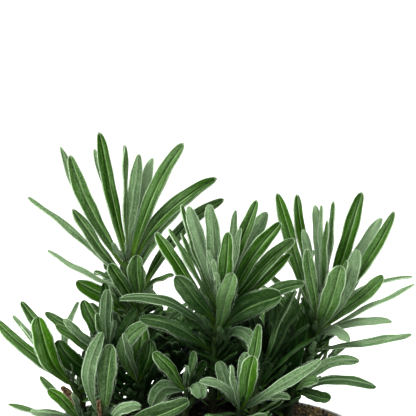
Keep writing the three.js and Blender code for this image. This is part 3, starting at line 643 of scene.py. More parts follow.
def blade_profile(half, width, share, top_count, bottom_count):
    """Section of a blade: across and up for each point round it, and its place on the blade."""
    even = np.linspace(-1, 1, top_count)
    top = TO_MARGIN * np.sin(even * math.pi / 2) + (1 - TO_MARGIN) * even
    v = np.append(top, np.linspace(UNDER_REACH, -UNDER_REACH, bottom_count))[None, :]
    is_under = np.append(np.zeros(top_count), np.ones(bottom_count))[None, :]
    half = half[:, None]
    full = np.clip(half / (FULL_FROM * width), LEAST_FULL, 1)
    trough = FOLD_SHARE * width * share[:, None] * (np.abs(v) ** FOLD_POWER - 1)
    groove = GROOVE_DEPTH * full * np.exp(-((v * half / GROOVE_WIDTH) ** 2))
    past = np.maximum(0, (np.abs(v) - MARGIN_FROM) / (1 - MARGIN_FROM))
    upper = trough - groove - MARGIN_ROLL * full * past ** 2
    upper += CUSHION * full * np.sin(math.pi * np.abs(v))
    thick = full * (THIN_BLADE + RIB_RIDGE * np.exp(-((v * half / RIB_WIDTH) ** 2)))
    return v * half, upper + thick * (0.5 - is_under), v, is_under


def wave(kind, shares, phase):
    pace, size = kind
    return size * np.sin(pace * shares + phase)


def fine_blade(pile, leaf, grid, dice):
    """A grooved blade with rolled margins, a rib below and a little wander of its own."""
    stations, top_count, bottom_count = grid
    steps = np.arange(stations) / (stations - 1)
    shares = LAST_STATION * (1 - (1 - steps) ** TIP_CROWDING)
    middles, sides, uppers = leaf.frames(np.minimum(shares, LAST_FRAME))
    if leaf.by_eye and leaf.felt >= BLADE_UNDER:
        sides, uppers = -sides, -uppers
    twist = np.radians(dice.uniform(-TWIST, TWIST)) * shares[:, None]
    cos, sin = np.cos(twist), np.sin(twist)
    sides, uppers = sides * cos + uppers * sin, uppers * cos - sides * sin
    half = blade_half(leaf.width, shares, BLUNT_TIP_POWER)
    across, height, v, is_under = blade_profile(half, leaf.width, shares, top_count, bottom_count)
    phase = [dice.uniform(0, 2 * math.pi) for _ in range(6)]
    place = shares[:, None]
    ripple = 1 + wave(LONG_RIPPLE, place, np.where(v < 0, phase[0], phase[1]))
    ripple += wave(SHORT_RIPPLE, place, np.where(v < 0, phase[4], phase[5]))
    full = np.clip(half / (leaf.width / 2), 0, 1)[:, None]
    height = height + full * v ** 2 * wave(LIFT, place, np.sign(v) * phase[2])
    across = across * ripple + wave(SWAY, place, phase[3]) * place * (1 - place) * 4
    points = swept(middles, sides, uppers, across, height)
    facts = np.stack(np.broadcast_arrays(place, v, is_under), axis=2).reshape(-1, 3)
    end = leaf.curve.points(1.0) + uppers[-1] * float(height[-1].mean())
    around = top_count + bottom_count
    quads, root, rim = tube_faces(stations, around)
    tip = np.stack([rim[0], np.roll(rim[0], -1), np.full(around, len(points))], axis=1)
    facts = np.concatenate([facts, [[1.0, 0.0, 0.5]]])
    tone = leaf.tone + LUCK * dice.random()
    depth = np.interp(facts[:, 0], leaf.depth_at, leaf.depth)
    look = np.stack(np.broadcast_arrays(leaf.felt, tone, depth), axis=1)
    pile.add(np.concatenate([points, end]), [quads, tip, root], facts, look)
    return middles, sides, uppers, half, height, shares


HAIR_LENGTH = (0.2, 0.5)
HAIR_RADIUS = 0.024
HAIR_SIDES = ((0, 1, 3), (1, 2, 3), (2, 0, 3), (2, 1, 0))
HAIRS_PER_MM = 9.0
HAIR_RANGE = (0.12, 0.995)
HAIR_SPREAD = 0.45
HAIR_REACH = 0.98
FELTED_HAIRS = (0.7, 0.6)
AHEAD, AHEAD_AT_TIP, TIP_FROM = 0.35, 1.2, 0.9


def add_hairs(pile, roots, directions, lengths, tints, painted_shades):
    """Thin three-sided hairs, closed at the root."""
    helper = np.where(np.abs(directions[:, 2:3]) > 0.9, np.array([[1.0, 0, 0]]), UP[None, :])
    first = unit(np.cross(directions, helper))
    second = np.cross(directions, first)
    corners = [roots + HAIR_RADIUS * (first * math.cos(turn) + second * math.sin(turn))
               for turn in (0, 2 * math.pi / 3, 4 * math.pi / 3)]
    corners.append(roots + directions * lengths[:, None])
    base = np.arange(len(roots))[:, None] * 4
    faces = np.concatenate([base + np.array([side]) for side in HAIR_SIDES])
    looks = np.repeat(np.stack([tints, tints, painted_shades], axis=1), 4, axis=0)
    pile.add(np.stack(corners, axis=1).reshape(-1, 3), [faces], looks=looks)


def margin_hairs(pile, leaf, frames, rng):
    """Hairs along both margins, thicker on the greyer leaves and towards the tip."""
    middles, sides, uppers, half, height, shares = frames
    count = int(leaf.length * HAIRS_PER_MM * (FELTED_HAIRS[0] + FELTED_HAIRS[1] * leaf.felt))
    for side, edge in ((-1, 0), (1, -1)):
        place = rng.uniform(*HAIR_RANGE, count)
        middle, outward, upper = (
            np.stack([np.interp(place, shares, column) for column in rows.T], axis=1)
            for rows in (middles, sides * side, uppers))
        reach = np.interp(place, shares, half) * HAIR_REACH
        lift = np.interp(place, shares, height[:, edge])
        roots = middle + outward * reach[:, None] + upper * lift[:, None]
        spread = rng.normal(0, HAIR_SPREAD, (count, 3))
        ahead = AHEAD + AHEAD_AT_TIP * np.clip((place - TIP_FROM) / (1 - TIP_FROM), 0, 1)
        direction = unit(outward + leaf.curve.tangents(place) * ahead[:, None] + spread)
        lengths = rng.uniform(*HAIR_LENGTH, count)
        painted_shades = np.interp(place, leaf.depth_at, leaf.depth)
        add_hairs(pile, roots, direction, lengths, rng.uniform(0, 1, count), painted_shades)


STEM_RINGS = 26
STEM_AROUND = 16
NODE_SWELL, SWELL_REACH, MOST_SWELL = 0.22, 1.1, 0.32
TOP_RISE, TOP_RADIUS = 1.2, 0.35
SQUARENESS, SQUARE_TURN = 0.09, 1.5
TALL_STEM = 40


def fine_stem(pile, stem, roots, dice):
    """A four-angled stem, woody at its foot, thicker where leaves join it."""
    shares = np.linspace(0, 1, STEM_RINGS)
    centres, tangents = stem.path.points(shares), stem.path.tangents(shares)
    buried = centres[:1] - UP * STEM_SUNK
    centres = np.concatenate([buried, centres, centres[-1:] + tangents[-1:] * TOP_RISE])
    tangents = np.concatenate([UP[None, :], tangents, tangents[-1:]])
    shares = np.concatenate([[0], shares, [1]])
    radii = stem_radius(shares)
    for root in roots:
        radii = radii + NODE_SWELL * np.exp(-(((shares - root) * stem.length / SWELL_REACH) ** 2))
    radii = np.minimum(radii, stem_radius(shares) + MOST_SWELL)
    radii[-1] = TOP_RADIUS
    angles = np.linspace(0, 2 * math.pi, STEM_AROUND, endpoint=False) + dice.uniform(0, SQUARE_TURN)
    first = unit(np.cross(tangents, np.array([0.0, 1.0, 0.0])))
    reach = radii[:, None] * (1 + SQUARENESS * np.cos(4 * angles))
    cross, up = reach * np.cos(angles), reach * np.sin(angles)
    points = swept(centres, first, np.cross(tangents, first), cross, up)
    along = np.repeat(shares, STEM_AROUND)
    depth = np.interp(along, stem.depth_at, stem.depth)
    facts = np.stack(np.broadcast_arrays(along, 0.0, 2.0), axis=1)
    tall = min(1.0, stem.length / TALL_STEM)
    look = np.stack(np.broadcast_arrays(tall, dice.random(), depth), axis=1)
    pile.add(points, tube_faces(len(centres), STEM_AROUND), facts, look)


def bowed_leaf(stem, root, end, bow, width, facing):
    return Leaf(stem, Bend(root, (root + end) / 2 + bow, end), width, facing)


# The tuft of young leaves at a tip, and what each further pair of them loses. They are shorter on
# a short stem.
YOUNG_LEAVES = 6
YOUNG_GRID = (12, 7, 5)
YOUNG_LENGTH, PAIR_SHORTER = (9.5, 12), 2.6
YOUNG_LEAN, PAIR_STEEPER = (17, 24), 4
YOUNG_WIDTH, PAIR_NARROWER = 2.4, 0.45
YOUNG_SUNK, PAIR_HIGHER = 0.6, 0.4
YOUNG_ASIDE, YOUNG_BOW, YOUNG_TILT = 0.4, 0.07, 0.3
LEAST_GROWN, GROWN_STEM = 0.45, 56
YOUNG_LOOK = (0.85, 0.25)


def young_leaves(pile, hairs, stem, dice, rng):
    """The felted tuft of small leaves at the tip of a stem, smaller pair by pair."""
    tip = stem.path.points(1.0)[0]
    along = stem.path.tangents(1.0)[0]
    first = unit(np.cross(along, np.array([0.3, 1.0, 0.0])))
    second = np.cross(along, first)
    turn = dice.uniform(0, 2 * math.pi)
    grown = min(1, LEAST_GROWN + stem.length / GROWN_STEM)
    for index in range(YOUNG_LEAVES):
        pair, side = divmod(index, 2)
        angle = turn + side * math.pi + pair * math.pi / 2
        outward = first * math.cos(angle) + second * math.sin(angle)
        length = (dice.uniform(*YOUNG_LENGTH) - pair * PAIR_SHORTER) * grown
        lean = math.radians(dice.uniform(*YOUNG_LEAN) - pair * PAIR_STEEPER)
        root = tip + along * (pair * PAIR_HIGHER - YOUNG_SUNK) + outward * YOUNG_ASIDE
        end = root + (along * math.cos(lean) + outward * math.sin(lean)) * length
        width = YOUNG_WIDTH - pair * PAIR_NARROWER
        facing = along * YOUNG_TILT - outward
        leaf = bowed_leaf(stem, root, end, outward * length * YOUNG_BOW, width, facing)
        leaf.look(*YOUNG_LOOK, stem.depth[-1])
        margin_hairs(hairs, leaf, fine_blade(pile, leaf, YOUNG_GRID, dice), rng)


# Single leaves: long young ones at a tip, and dry brown ones low in the plant. Each kind has its
# bow, the way it faces, felt and tone, its grid, and rows of stem, share of the stem's height, tip
# (across, up, y) and width.
LONG_YOUNG = (TO_EYE, TO_EYE, (1.0, 0.35), RULE_GRID, (
    ("centre", 1.0, (3.2, 66.4, -21), 2.2),
    ("centre", 1.0, (5.2, 62.8, -22), 1.9),
    ("centre", 1.0, (6.4, 57.4, -23), 2.0),
))
DRY_LEAVES = (UP * 2.4, UP + TO_EYE, (0.0, -2.0), (14, 7, 5), (
    ("left_spray", 0.34, (-55.6, 11.4, -6), 3.6),
    ("left_spray", 0.12, (-51.6, 8.4, -8), 3.0),
    ("front_left", 0.22, (-40.2, 6.6, -33), 1.9),
))
# How much painted shade the single leaves get.
SHALLOW = 0.1


def single_leaves(pile, stem, kind, dice):
    """Makes the leaves of a kind that are the stem's, and gives each with its frames."""
    bow, facing, look, grid, rows = kind
    made = []
    for name, share, tip, width in rows:
        if name == stem.name:
            root = stem.path.points(share)[0]
            leaf = bowed_leaf(stem, root, seen(*tip), bow, width, facing)
            leaf.look(*look, SHALLOW)
            made.append((leaf, fine_blade(pile, leaf, grid, dice)))
    return made


# Tufts of narrow leaves: mm between them, their range on the stem, and for each leaf its length,
# lean, width and wander, with what the lowest get on top.
TUFT_STEP = 3.4
TUFT_RANGE = (0.06, 0.86)
TUFT_LENGTH, LOW_TUFT_LENGTH = (6.0, 12.0), 8.0
TUFT_LEAN, LOW_TUFT_LEAN = (22, 62), 16
TUFT_WIDTH, LOW_TUFT_WIDTH = (1.6, 2.4), 1.0
TUFT_TURN = 45
TUFT_RISE = 1.5
TUFT_BOW = 0.12
TUFT_CLEAR = 1.8
TUFT_TRIES = 5
TUFT_GRID = (8, 5, 3)
TUFT_TILT = 0.5
NODE_TURN, NODE_WANDER = 45, 15
TUFT_FELT, TUFT_TONE = (0.0, 0.4), (-0.6, 0.0)
# Share of the painted shade that a tuft keeps at its tip.
TUFT_TIP_DEPTH = 0.8


def tuft_leaf(stem, share, turn, dice):
    low = 1 - share
    azimuth = math.radians(turn + dice.uniform(-TUFT_TURN, TUFT_TURN))
    lean = math.radians(dice.uniform(*TUFT_LEAN) + LOW_TUFT_LEAN * low)
    length = dice.uniform(*TUFT_LENGTH) + LOW_TUFT_LENGTH * low
    outward = np.array([math.cos(azimuth), math.sin(azimuth), 0.0])
    root = stem.root(share, outward) + UP * dice.uniform(-TUFT_RISE, TUFT_RISE)
    end = root + (outward * math.sin(lean) + UP * math.cos(lean)) * length
    width = dice.uniform(*TUFT_WIDTH) + LOW_TUFT_WIDTH * low
    return bowed_leaf(stem, root, end, outward * length * TUFT_BOW, width, UP * TUFT_TILT - outward)


def axil_tufts(pile, stem, standing, dice):
    """Short narrow leaves in the axils along the stem, where no other leaf is in their way."""
    reach = TUFT_LENGTH[1] + LOW_TUFT_LENGTH + TUFT_CLEAR + 2 * TUFT_RISE
    low, high = stem.samples.min(axis=0) - reach, stem.samples.max(axis=0) + reach
    standing = standing[np.all((standing > low) & (standing < high), axis=1)]
    first, last = TUFT_RANGE
    nodes = max(2, int((last - first) * stem.length / TUFT_STEP))
    turn = dice.uniform(0, 360)
    for node in range(nodes):
        share = first + (last - first) * (node + 0.5) / nodes
        depth = max(np.interp(share, stem.depth_at, stem.depth), LEAST_DEPTH)
        turn += NODE_TURN + dice.uniform(-NODE_WANDER, NODE_WANDER)
        for quarter in range(4):
            for _ in range(TUFT_TRIES):
                leaf = tuft_leaf(stem, share, turn + 90 * quarter, dice)
                clear = nearest(leaf.outer, standing) > TUFT_CLEAR and not in_ground(leaf)
                if clear and keeps_behind(leaf):
                    felt, tone = dice.uniform(*TUFT_FELT), dice.uniform(*TUFT_TONE)
                    leaf.look(felt, tone, depth, depth * TUFT_TIP_DEPTH)
                    fine_blade(pile, leaf, TUFT_GRID, dice)
                    break


def linear(red, green, blue):
    """A colour given as it looks on screen, 0 to 255, as the shader wants it."""
    channels = [value / 255 for value in (red, green, blue)]
    return tuple(c / 12.92 if c <= 0.04045 else ((c + 0.055) / 1.055) ** 2.4 for c in channels) + (1.0,)


class Value:
    """A value in a material, whose sums and products become nodes."""

    def __init__(self, shader, socket):
        self.shader, self.socket = shader, socket

    def __add__(self, other):
        return self.shader.math("ADD", self, other)

    def __sub__(self, other):
        return self.shader.math("SUBTRACT", self, other)

    def __mul__(self, other):
        return self.shader.math("MULTIPLY", self, other)

    def __pow__(self, power):
        return self.shader.math("POWER", self, power)

    def __abs__(self):
        return self.shader.math("ABSOLUTE", self)


class Shader:
    """A material with short ways to add and join nodes."""

    def __init__(self, name):
        self.material = bpy.data.materials.new(name)
        self.material.use_nodes = True
        self.material.diffuse_color = (0.2, 0.2, 0.2, 1)
        self.tree = self.material.node_tree
        self.surface = self.tree.nodes["Principled BSDF"]

    def put(self, socket, value):
        """Links a value to a socket, or sets a constant on it. Colours are as on screen."""
        if isinstance(value, Value):
            self.tree.links.new(value.socket, socket)
        elif socket.type == "RGBA":
            socket.default_value = linear(*value)
        else:
            socket.default_value = value

    def node(self, kind, inputs, output=0, **settings):
        """A new node, with values for its inputs by name or number, and what it puts out."""
        node = self.tree.nodes.new(kind)
        for label, value in settings.items():
            setattr(node, label, value)
        for key, value in inputs.items():
            self.put(node.inputs[key], value)
        return Value(self, node.outputs[output])

    def math(self, operation, *values):
        return self.node("ShaderNodeMath", dict(enumerate(values)), operation=operation)

    def step(self, value, low, high, out_low=0.0, out_high=1.0):
        given = {"Value": value, "From Min": low, "From Max": high, "To Min": out_low, "To Max": out_high}
        return self.node("ShaderNodeMapRange", given, interpolation_type="SMOOTHSTEP")

    def mix(self, share, first, second):
        return self.node("ShaderNodeMix", {0: share, 6: first, 7: second}, 2, data_type="RGBA")

    def noise(self, scale, detail=3.0, rough=0.55, vector=None):
        given = {"Scale": scale, "Detail": detail, "Roughness": rough, "Vector": vector or self.place()}
        return self.node("ShaderNodeTexNoise", given, "Fac")

    def place(self):
        return self.node("ShaderNodeTexCoord", {}, "Object")

    def parts(self, vector):
        first = self.node("ShaderNodeSeparateXYZ", {0: vector})
        return [Value(self, socket) for socket in first.socket.node.outputs]

    def fact(self, name):
        return self.parts(self.node("ShaderNodeAttribute", {}, "Vector", attribute_name=name))

    def striped(self, across, along, own, crosswise, lengthwise, low, high):
        """Noise drawn out along a blade, different on each."""
        scaled = {0: across * crosswise, 1: along * lengthwise, 2: own}
        return self.step(self.noise(1.0, 2.0, 0.6, self.node("ShaderNodeCombineXYZ", scaled)), low, high)

    def finish(self, color, roughness, bump, specular=0.5):
        """Sets the surface's own sockets; bump is its height, strength and distance."""
        sockets = self.surface.inputs
        self.put(sockets["Base Color"], color)
        self.put(sockets["Roughness"], roughness)
        self.put(sockets["Specular IOR Level"], specular)
        if bump:
            given = dict(zip(("Height", "Strength", "Distance"), bump))
            self.put(sockets["Normal"], self.node("ShaderNodeBump", given))
        return self.material


def leaf_material():
    shade = Shader("lavender_leaf")
    mix, step, noise = shade.mix, shade.step, shade.noise
    along, across, under = shade.fact("blade")
    felt, tone, depth = shade.fact("look")
    edge, own = abs(across), tone * 60
    broad = noise(160, 2)
    mottle = step(noise(1100, 3, 0.6), 0.36, 0.64)
    fine = step(noise(2000, 1, 0.5), 0.4, 0.6)
    streak = shade.striped(across, along, own, 3.4, 3.0, 0.36, 0.64)
    fibre = shade.striped(across, along, own, 8.0, 7.0, 0.38, 0.62)
    # Which half of a blade gets the grey fuzz and painted sheen.
    side = shade.striped(across, along, own, 0.9, 1.6, 0.42, 0.6)
    is_under = step(under, 0.25, 0.75)

    # Tone lightens or darkens the green, partly as painted light and shade.
    level = broad * 0.2 + tone * 0.65 + streak * 0.26 + fibre * 0.2 + mottle * 0.08 - 0.17
    green = mix(level, (10, 42, 0), (68, 122, 6))
    green = mix(step(tone, 0.5, 1.1), green, (92, 138, 40))
    # Grey fuzz on one half of each blade, partly a painted sheen as where light falls across its fold.
    fuzz_and_painted_sheen = side * 0.43 * (fibre * 0.55 + 0.3) * (mottle * 0.4 + 0.7)
    green = mix(fuzz_and_painted_sheen, green, (126, 156, 110))
    green = mix(fine * 0.1, green, (110, 150, 72))
    # Painted shade darkens the groove down the middle of the blade.
    groove = step(edge, 0.2, 0.04, 0, 0.7)
    green = mix(groove, green, (8, 34, 0))
    # Painted highlight: a pale line beside the groove.
    painted_highlight_by_groove = step(abs(across - 0.2), 0.085, 0.02, 0, 0.75) * (streak * 0.6 + 0.4)
    green = mix(painted_highlight_by_groove, green, (138, 172, 108))

    grey = mix(fibre * 0.4 + mottle * 0.3 + streak * 0.3, (36, 68, 28), (124, 154, 110))
    grey = mix(mottle * -0.1 + 0.1, grey, (34, 60, 26))
    grey = mix(fine * 0.32, grey, (146, 172, 132))
    # Tone lightens or darkens the grey, partly as painted light and shade.
    grey = mix(step(tone, 0.12, 0.5, 0, 0.7), grey, (150, 178, 138))
    grey = mix(step(tone, 0, -0.6, 0, 0.75), grey, (32, 56, 28))

    felted = felt ** 1.7 * (mottle * 0.4 + 0.5)
    top = mix(felted, green, grey)
    yellow_base = step(along, 0.32, 0.02, 0, 0.75)
    top = mix(yellow_base, top, (94, 136, 30))
    dark_line = step(abs(edge - 0.72), 0.12, 0.02, 0, 0.4)
    top = mix(dark_line * streak, top, (14, 44, 4))
    margin, tip = step(edge, 0.84, 0.94), step(along, 0.975, 0.998)
    pale = shade.math("MAXIMUM", margin, tip) * (mottle * 0.35 + 0.6)
    # The pale margins fade where shade is painted deep in the foliage.
    pale = pale * step(depth, 0.6, 0, 0.15, 1) * step(tone, -0.45, 0.15, 0.4, 1)
    top = mix(pale, top, (186, 210, 172))

    rib = step(edge, 0.16, 0.05, 0, 0.7)
    below = mix(rib, grey, (134, 157, 120))
    below = mix(broad * 0.4, below, (48, 78, 36))
    below = mix(step(edge, 0.86, 0.95, 0, 0.8), below, (176, 202, 164))

    color = mix(is_under, top, below)
    # Painted shade: the leaf goes green-black deep in the foliage.
    color = mix(depth * 0.96, color, (1, 30, 0))
    dry = mix(mottle, (52, 38, 24), (150, 124, 92))
    color = mix(step(tone, -1.2, -1.5), color, dry)
    rough = shade.math("MAXIMUM", is_under, felted) * 0.3 + 0.5
    return shade.finish(color, rough, (fine * 0.6 + noise(700, 2), 0.9, 0.0004), specular=0.03)


def stem_material():
    shade = Shader("lavender_stem")
    along, _, _ = shade.fact("blade")
    tall, _, depth = shade.fact("look")
    # Woody bark at the foot, its colour made darker as painted shade low in the plant.
    bark_and_painted_shade = shade.mix(shade.noise(900), (16, 14, 8), (48, 44, 26))
    young = shade.mix(shade.noise(1500), (40, 72, 18), (78, 106, 48))
    color = shade.mix(shade.step(along * tall, 0.5, 0.08), young, bark_and_painted_shade)
    # Painted shade: the stem goes dark deep in the foliage.
    color = shade.mix(depth * 0.94, color, (4, 16, 1))
    return shade.finish(color, 0.8, (shade.noise(1200, 4), 0.6, 0.0003), specular=0.1)


def hair_material():
    shade = Shader("leaf_hair")
    tint, _, depth = shade.fact("look")
    color = shade.mix(tint, (150, 178, 140), (206, 220, 196))
    # Painted shade: hairs go dark deep in the foliage.
    return shade.finish(shade.mix(depth * 0.92, color, (16, 40, 10)), 0.6, None)


# Where the foliage stands over the soil, in metres: its middle left of the pot's, and the radii between
# which a painted shadow darkens the soil.
FOLIAGE_LEFT = 0.012
SHADE_OUTSIDE, SHADE_INSIDE = 0.06, 0.046


def painted_foliage_shadow(shade, color):
    """Soil colour with a painted shadow where the foliage stands over the pot's middle."""
    x, y, _ = shade.parts(shade.place())
    x = x + FOLIAGE_LEFT
    shaded = shade.step((x * x + y * y) ** 0.5, SHADE_OUTSIDE, SHADE_INSIDE, 0, 0.98)
    return shade.mix(shaded, color, (2, 3, 1))


def soil_material():
    shade = Shader("potting_soil")
    coarse = shade.noise(420, 6, 0.65)
    fine = shade.noise(1300, 4, 0.7)
    color = shade.mix(shade.step(coarse, 0.42, 0.62), (10, 8, 4), (70, 56, 30))
    color = shade.mix(shade.step(fine, 0.54, 0.62, 0, 0.85), color, (158, 130, 74))
    # Painted shadow of the foliage over the middle of the soil.
    color = painted_foliage_shadow(shade, color)
    return shade.finish(color, 0.95, (coarse + fine, 0.8, 0.0006), specular=0.2)


def crumb_material():
    shade = Shader("soil_crumbs")
    kind, _, luck = shade.fact("look")
    fine = shade.noise(1800, 4, 0.7)
    dark = shade.mix(luck, (12, 9, 4), (76, 60, 36))
    golden = shade.mix(luck, (124, 98, 50), (188, 160, 104))
    # The crumbs get the same painted shadow.
    color = painted_foliage_shadow(shade, shade.mix(kind, dark, golden))
    color = shade.mix(fine * 0.5, color, (40, 28, 16))
    return shade.finish(color, 0.9, (fine, 0.7, 0.0004))


def pot_material():
    shade = Shader("pot_plastic")
    drawn_out = {"Vector": shade.place(), "Scale": (1.0, 1.0, 0.08)}
    streaks = shade.noise(90, 4, 0.6, shade.node("ShaderNodeMapping", drawn_out))
    scuffs = shade.noise(1500)
    color = shade.mix(streaks, (162, 163, 160), (180, 181, 178))
    _, _, height = shade.parts(shade.place())
    near_rim = shade.step(height, 0.085, 0.104)
    dust = shade.step(shade.noise(700, 5, 0.7), 0.56, 0.76, 0, 0.35)
    color = shade.mix(near_rim * dust, color, (150, 138, 116))
    return shade.finish(color, streaks * 0.25 + 0.36, (scuffs * 0.4 + streaks, 0.25, 0.0003))


def floor_material():
    shade = Shader("floor_paper")
    return shade.finish(shade.mix(shade.noise(3, 2), (250, 250, 249), (253, 253, 252)), 0.9, None)


# Radius at which a turned outline ends beside the axis, points round the pot and its holes, the
# points of an arc at a corner, how far a drill reaches past the floor, and the shortest side kept.
AXIS_GAP = 0.01
POT_AROUND = 144
HOLE_AROUND = 24
ARC_POINTS = 4
DRILL_PAST = 2.0
SLIVER = 1e-6


def lathe(profile, around):
    """Points and faces of a profile (radius, height) turned round the pot's axis."""
    angles = np.linspace(0, 2 * math.pi, around, endpoint=False)
    rings = [np.stack(np.broadcast_arrays(r * np.cos(angles), r * np.sin(angles), z), axis=1)
             for r, z in profile]
    return np.concatenate(rings), tube_faces(len(profile), around)


def rounded(corner, before, after, radius):
    """A small arc in place of a corner of a profile."""
    corner, before, after = (np.array(p, dtype=float) for p in (corner, before, after))
    arc = Bend(corner + unit(before - corner) * radius, corner, corner + unit(after - corner) * radius)
    return [tuple(p) for p in arc.points(np.linspace(0, 1, ARC_POINTS))]


def pot_profile():
    """Up the outside, over the rim and down the inside; each corner has its own rounding."""
    sharp = [
        (FOOT_RADIUS, 0, 1.6),
        (WALL_TOP, SHOULDER - 1, 0.6),
        (RIM_RADIUS, SHOULDER, 0.7),
        (RIM_RADIUS, POT_HEIGHT, 0.9),
        (RIM_RADIUS - POT_WALL, POT_HEIGHT, 0.8),
        (RIM_RADIUS - POT_WALL, SHOULDER + 1, 0.6),
        (WALL_TOP - POT_WALL, SHOULDER - 1, 0.6),
        (FOOT_RADIUS - POT_WALL, POT_FLOOR, 1.2),
    ]
    outline = [(AXIS_GAP, 0.0)] + [(r, z) for r, z, _ in sharp] + [(AXIS_GAP, POT_FLOOR)]
    corners = zip(outline[1:], outline, outline[2:], (radius for _, _, radius in sharp))
    return [outline[0]] + [point for corner in corners for point in rounded(*corner)] + [outline[-1]]


def drilled(thing, drills):
    """Cuts the drill meshes out of a piece, and removes them."""
    for drill in drills:
        cut = thing.modifiers.new("drain", "BOOLEAN")
        cut.operation, cut.solver, cut.object = "DIFFERENCE", "EXACT", drill
    graph = bpy.context.evaluated_depsgraph_get()
    mesh = bpy.data.meshes.new_from_object(thing.evaluated_get(graph))
    shape = bmesh.new()
    shape.from_mesh(mesh)
    bmesh.ops.dissolve_degenerate(shape, dist=SLIVER, edges=shape.edges)
    shape.to_mesh(mesh)
    shape.free()
    thing.modifiers.clear()
    old, thing.data = thing.data, mesh
    bpy.data.meshes.remove(old)
    for drill in drills:
        bpy.data.objects.remove(drill)


def make_pot(material):
    pile = Pile()
    pile.add(*lathe(pot_profile(), POT_AROUND))
    pot = pile.to_object("pot_shell", material)
    drills = []
    for hole in range(DRAIN_HOLES):
        angle = hole / DRAIN_HOLES * 2 * math.pi
        ends = (-DRILL_PAST, POT_FLOOR + DRILL_PAST)
        points, faces = lathe([(DRAIN_RADIUS, z) for z in ends], HOLE_AROUND)
        spot = Pile()
        spot.add(points + DRAIN_CIRCLE * np.array([math.cos(angle), math.sin(angle), 0]), faces)
        drills.append(spot.to_object("drain_drill_%d" % hole, material))
    drilled(pot, drills)
    return pot


# The soil's mesh, its lumps (fineness and height), and how it is heaped up towards the pot.
SOIL_AROUND = 300
SOIL_TOP_RINGS = 96
RING_CROWDING, RING_REACH = 0.8, 0.995
SOIL_AXIS_GAP = 0.5
LUMPS = ((0.11, 0.9), (0.31, 0.75), (0.8, 0.42), (1.9, 0.2))
LUMP_SLICE = 7.3
EDGE_HEAP, HEAP_FROM, HEAP_OVER = 1.6, 0.7, 0.2
EDGE_CALM = 12


def soil_rise(x, y, share):
    """The soil's height with its own small lumps and its heaped edge."""
    lumps = [height * noise.noise(Vector((x * scale, y * scale, LUMP_SLICE * scale)))
             for scale, height in LUMPS]
    heaped = EDGE_HEAP * min(1, max(0, (share - HEAP_FROM) / HEAP_OVER))
    return float(soil_height(x, y)) + heaped + sum(lumps) * min(1, max(0, (1 - share) * EDGE_CALM))


def make_soil(material):
    floor_height = POT_FLOOR + CLEARANCE
    sides = [
        (SOIL_AXIS_GAP, floor_height),
        (FOOT_RADIUS - POT_WALL - SLOPE_CLEARANCE, floor_height),
        (WALL_TOP - POT_WALL - SLOPE_CLEARANCE, SHOULDER - 1),
        (SOIL_EDGE, SHOULDER + 1 + CLEARANCE),
    ]
    shares = 1 - np.linspace(0, 1, SOIL_TOP_RINGS) ** RING_CROWDING * RING_REACH
    points, faces = lathe(sides + [(SOIL_EDGE * share, 0) for share in shares], SOIL_AROUND)
    for point in points[len(sides) * SOIL_AROUND:]:
        point[2] = soil_rise(point[0], point[1], math.hypot(point[0], point[1]) / SOIL_EDGE)
    pile = Pile()
    pile.add(points, faces)
    return pile.to_object("soil_body", material)


# Corners of the ball nearer than this share a side.
BALL_SIDE = 1.1


def lump_shape():
    """A twenty-sided ball, its points and faces."""
    golden = (1 + math.sqrt(5)) / 2
    points = []
    for a, b in itertools.product((-1, 1), (-golden, golden)):
        points += [(0, a, b), (a, b, 0), (b, 0, a)]
    points = unit(np.array(points, dtype=float))
    faces = []
    for a, b, c in itertools.combinations(range(12), 3):
        sides = [np.linalg.norm(points[p] - points[q]) for p, q in ((a, b), (b, c), (a, c))]
        if max(sides) < BALL_SIDE:
            normal = np.cross(points[b] - points[a], points[c] - points[a])
            faces.append((a, b, c) if normal @ points[a] > 0 else (a, c, b))
    return points, np.array(faces)


# Loose crumbs and flat chips of bark on the soil. Kind is 0 for dark, 1 for golden.
CRUMBS = 2300
CRUMB_SIZE = (0.35, 1.5)
CRUMB_STRETCH = ((0.6, 1), (0.45, 0.8))
CRUMB_ROUGHNESS = 0.28
CRUMB_MARGIN = 1.5
CRUMB_LIFT = 0.25
GOLDEN_SHARE = 0.34
CHIPS = 46
CHIP_SIZE = (1.2, 2.4)
CHIP_SHAPE = np.array([1.6, 0.6, 0.28])
CHIP_LEAN = 0.35
CHIP_KIND = 0.6


def turned(rng):
    """A random rotation."""
    axes = np.linalg.qr(rng.normal(size=(3, 3)))[0]
    return axes * np.sign(np.linalg.det(axes))


def make_crumbs(material, rng):
    pile = Pile()
    ball, faces = lump_shape()
    edge = SOIL_EDGE - CRUMB_MARGIN
    for index in range(CRUMBS + CHIPS):
        radius, angle = edge * math.sqrt(rng.random()), rng.random() * 2 * math.pi
        x, y = radius * math.cos(angle), radius * math.sin(angle)
        size = CRUMB_SIZE[0] + (CRUMB_SIZE[1] - CRUMB_SIZE[0]) * rng.random() ** 3
        shape = ball * (1 + rng.uniform(-CRUMB_ROUGHNESS, CRUMB_ROUGHNESS, (12, 1)))
        stretch = np.array([1, *(rng.uniform(*span) for span in CRUMB_STRETCH)])
        kind = 1.0 if rng.random() < GOLDEN_SHARE else 0.0
        spin = turned(rng)
        if index >= CRUMBS:
            size, stretch, kind = rng.uniform(*CHIP_SIZE), CHIP_SHAPE, CHIP_KIND
            lean, turn = rng.uniform(-CHIP_LEAN, CHIP_LEAN), rng.uniform(0, math.pi)
            cos, sin = math.cos(turn), math.sin(turn)
            spin = np.array([[cos, -sin, 0], [sin, cos, 0], [lean, 0, 1]])
        z = soil_rise(x, y, radius / edge) + size * CRUMB_LIFT
        shape = (shape * stretch * size) @ spin.T + np.array([x, y, z])
        pile.add(shape, [faces], looks=np.array([kind, 0.0, rng.random()]))
    return pile.to_object("soil_crumbs", material, smooth=False)


LEAF_SEED = 611
HAIR_SEED = 97
SOIL_SEED = 31
RULE_FELT = (0.0, 0.45)
RULE_TONE = (-0.55, 0.0)


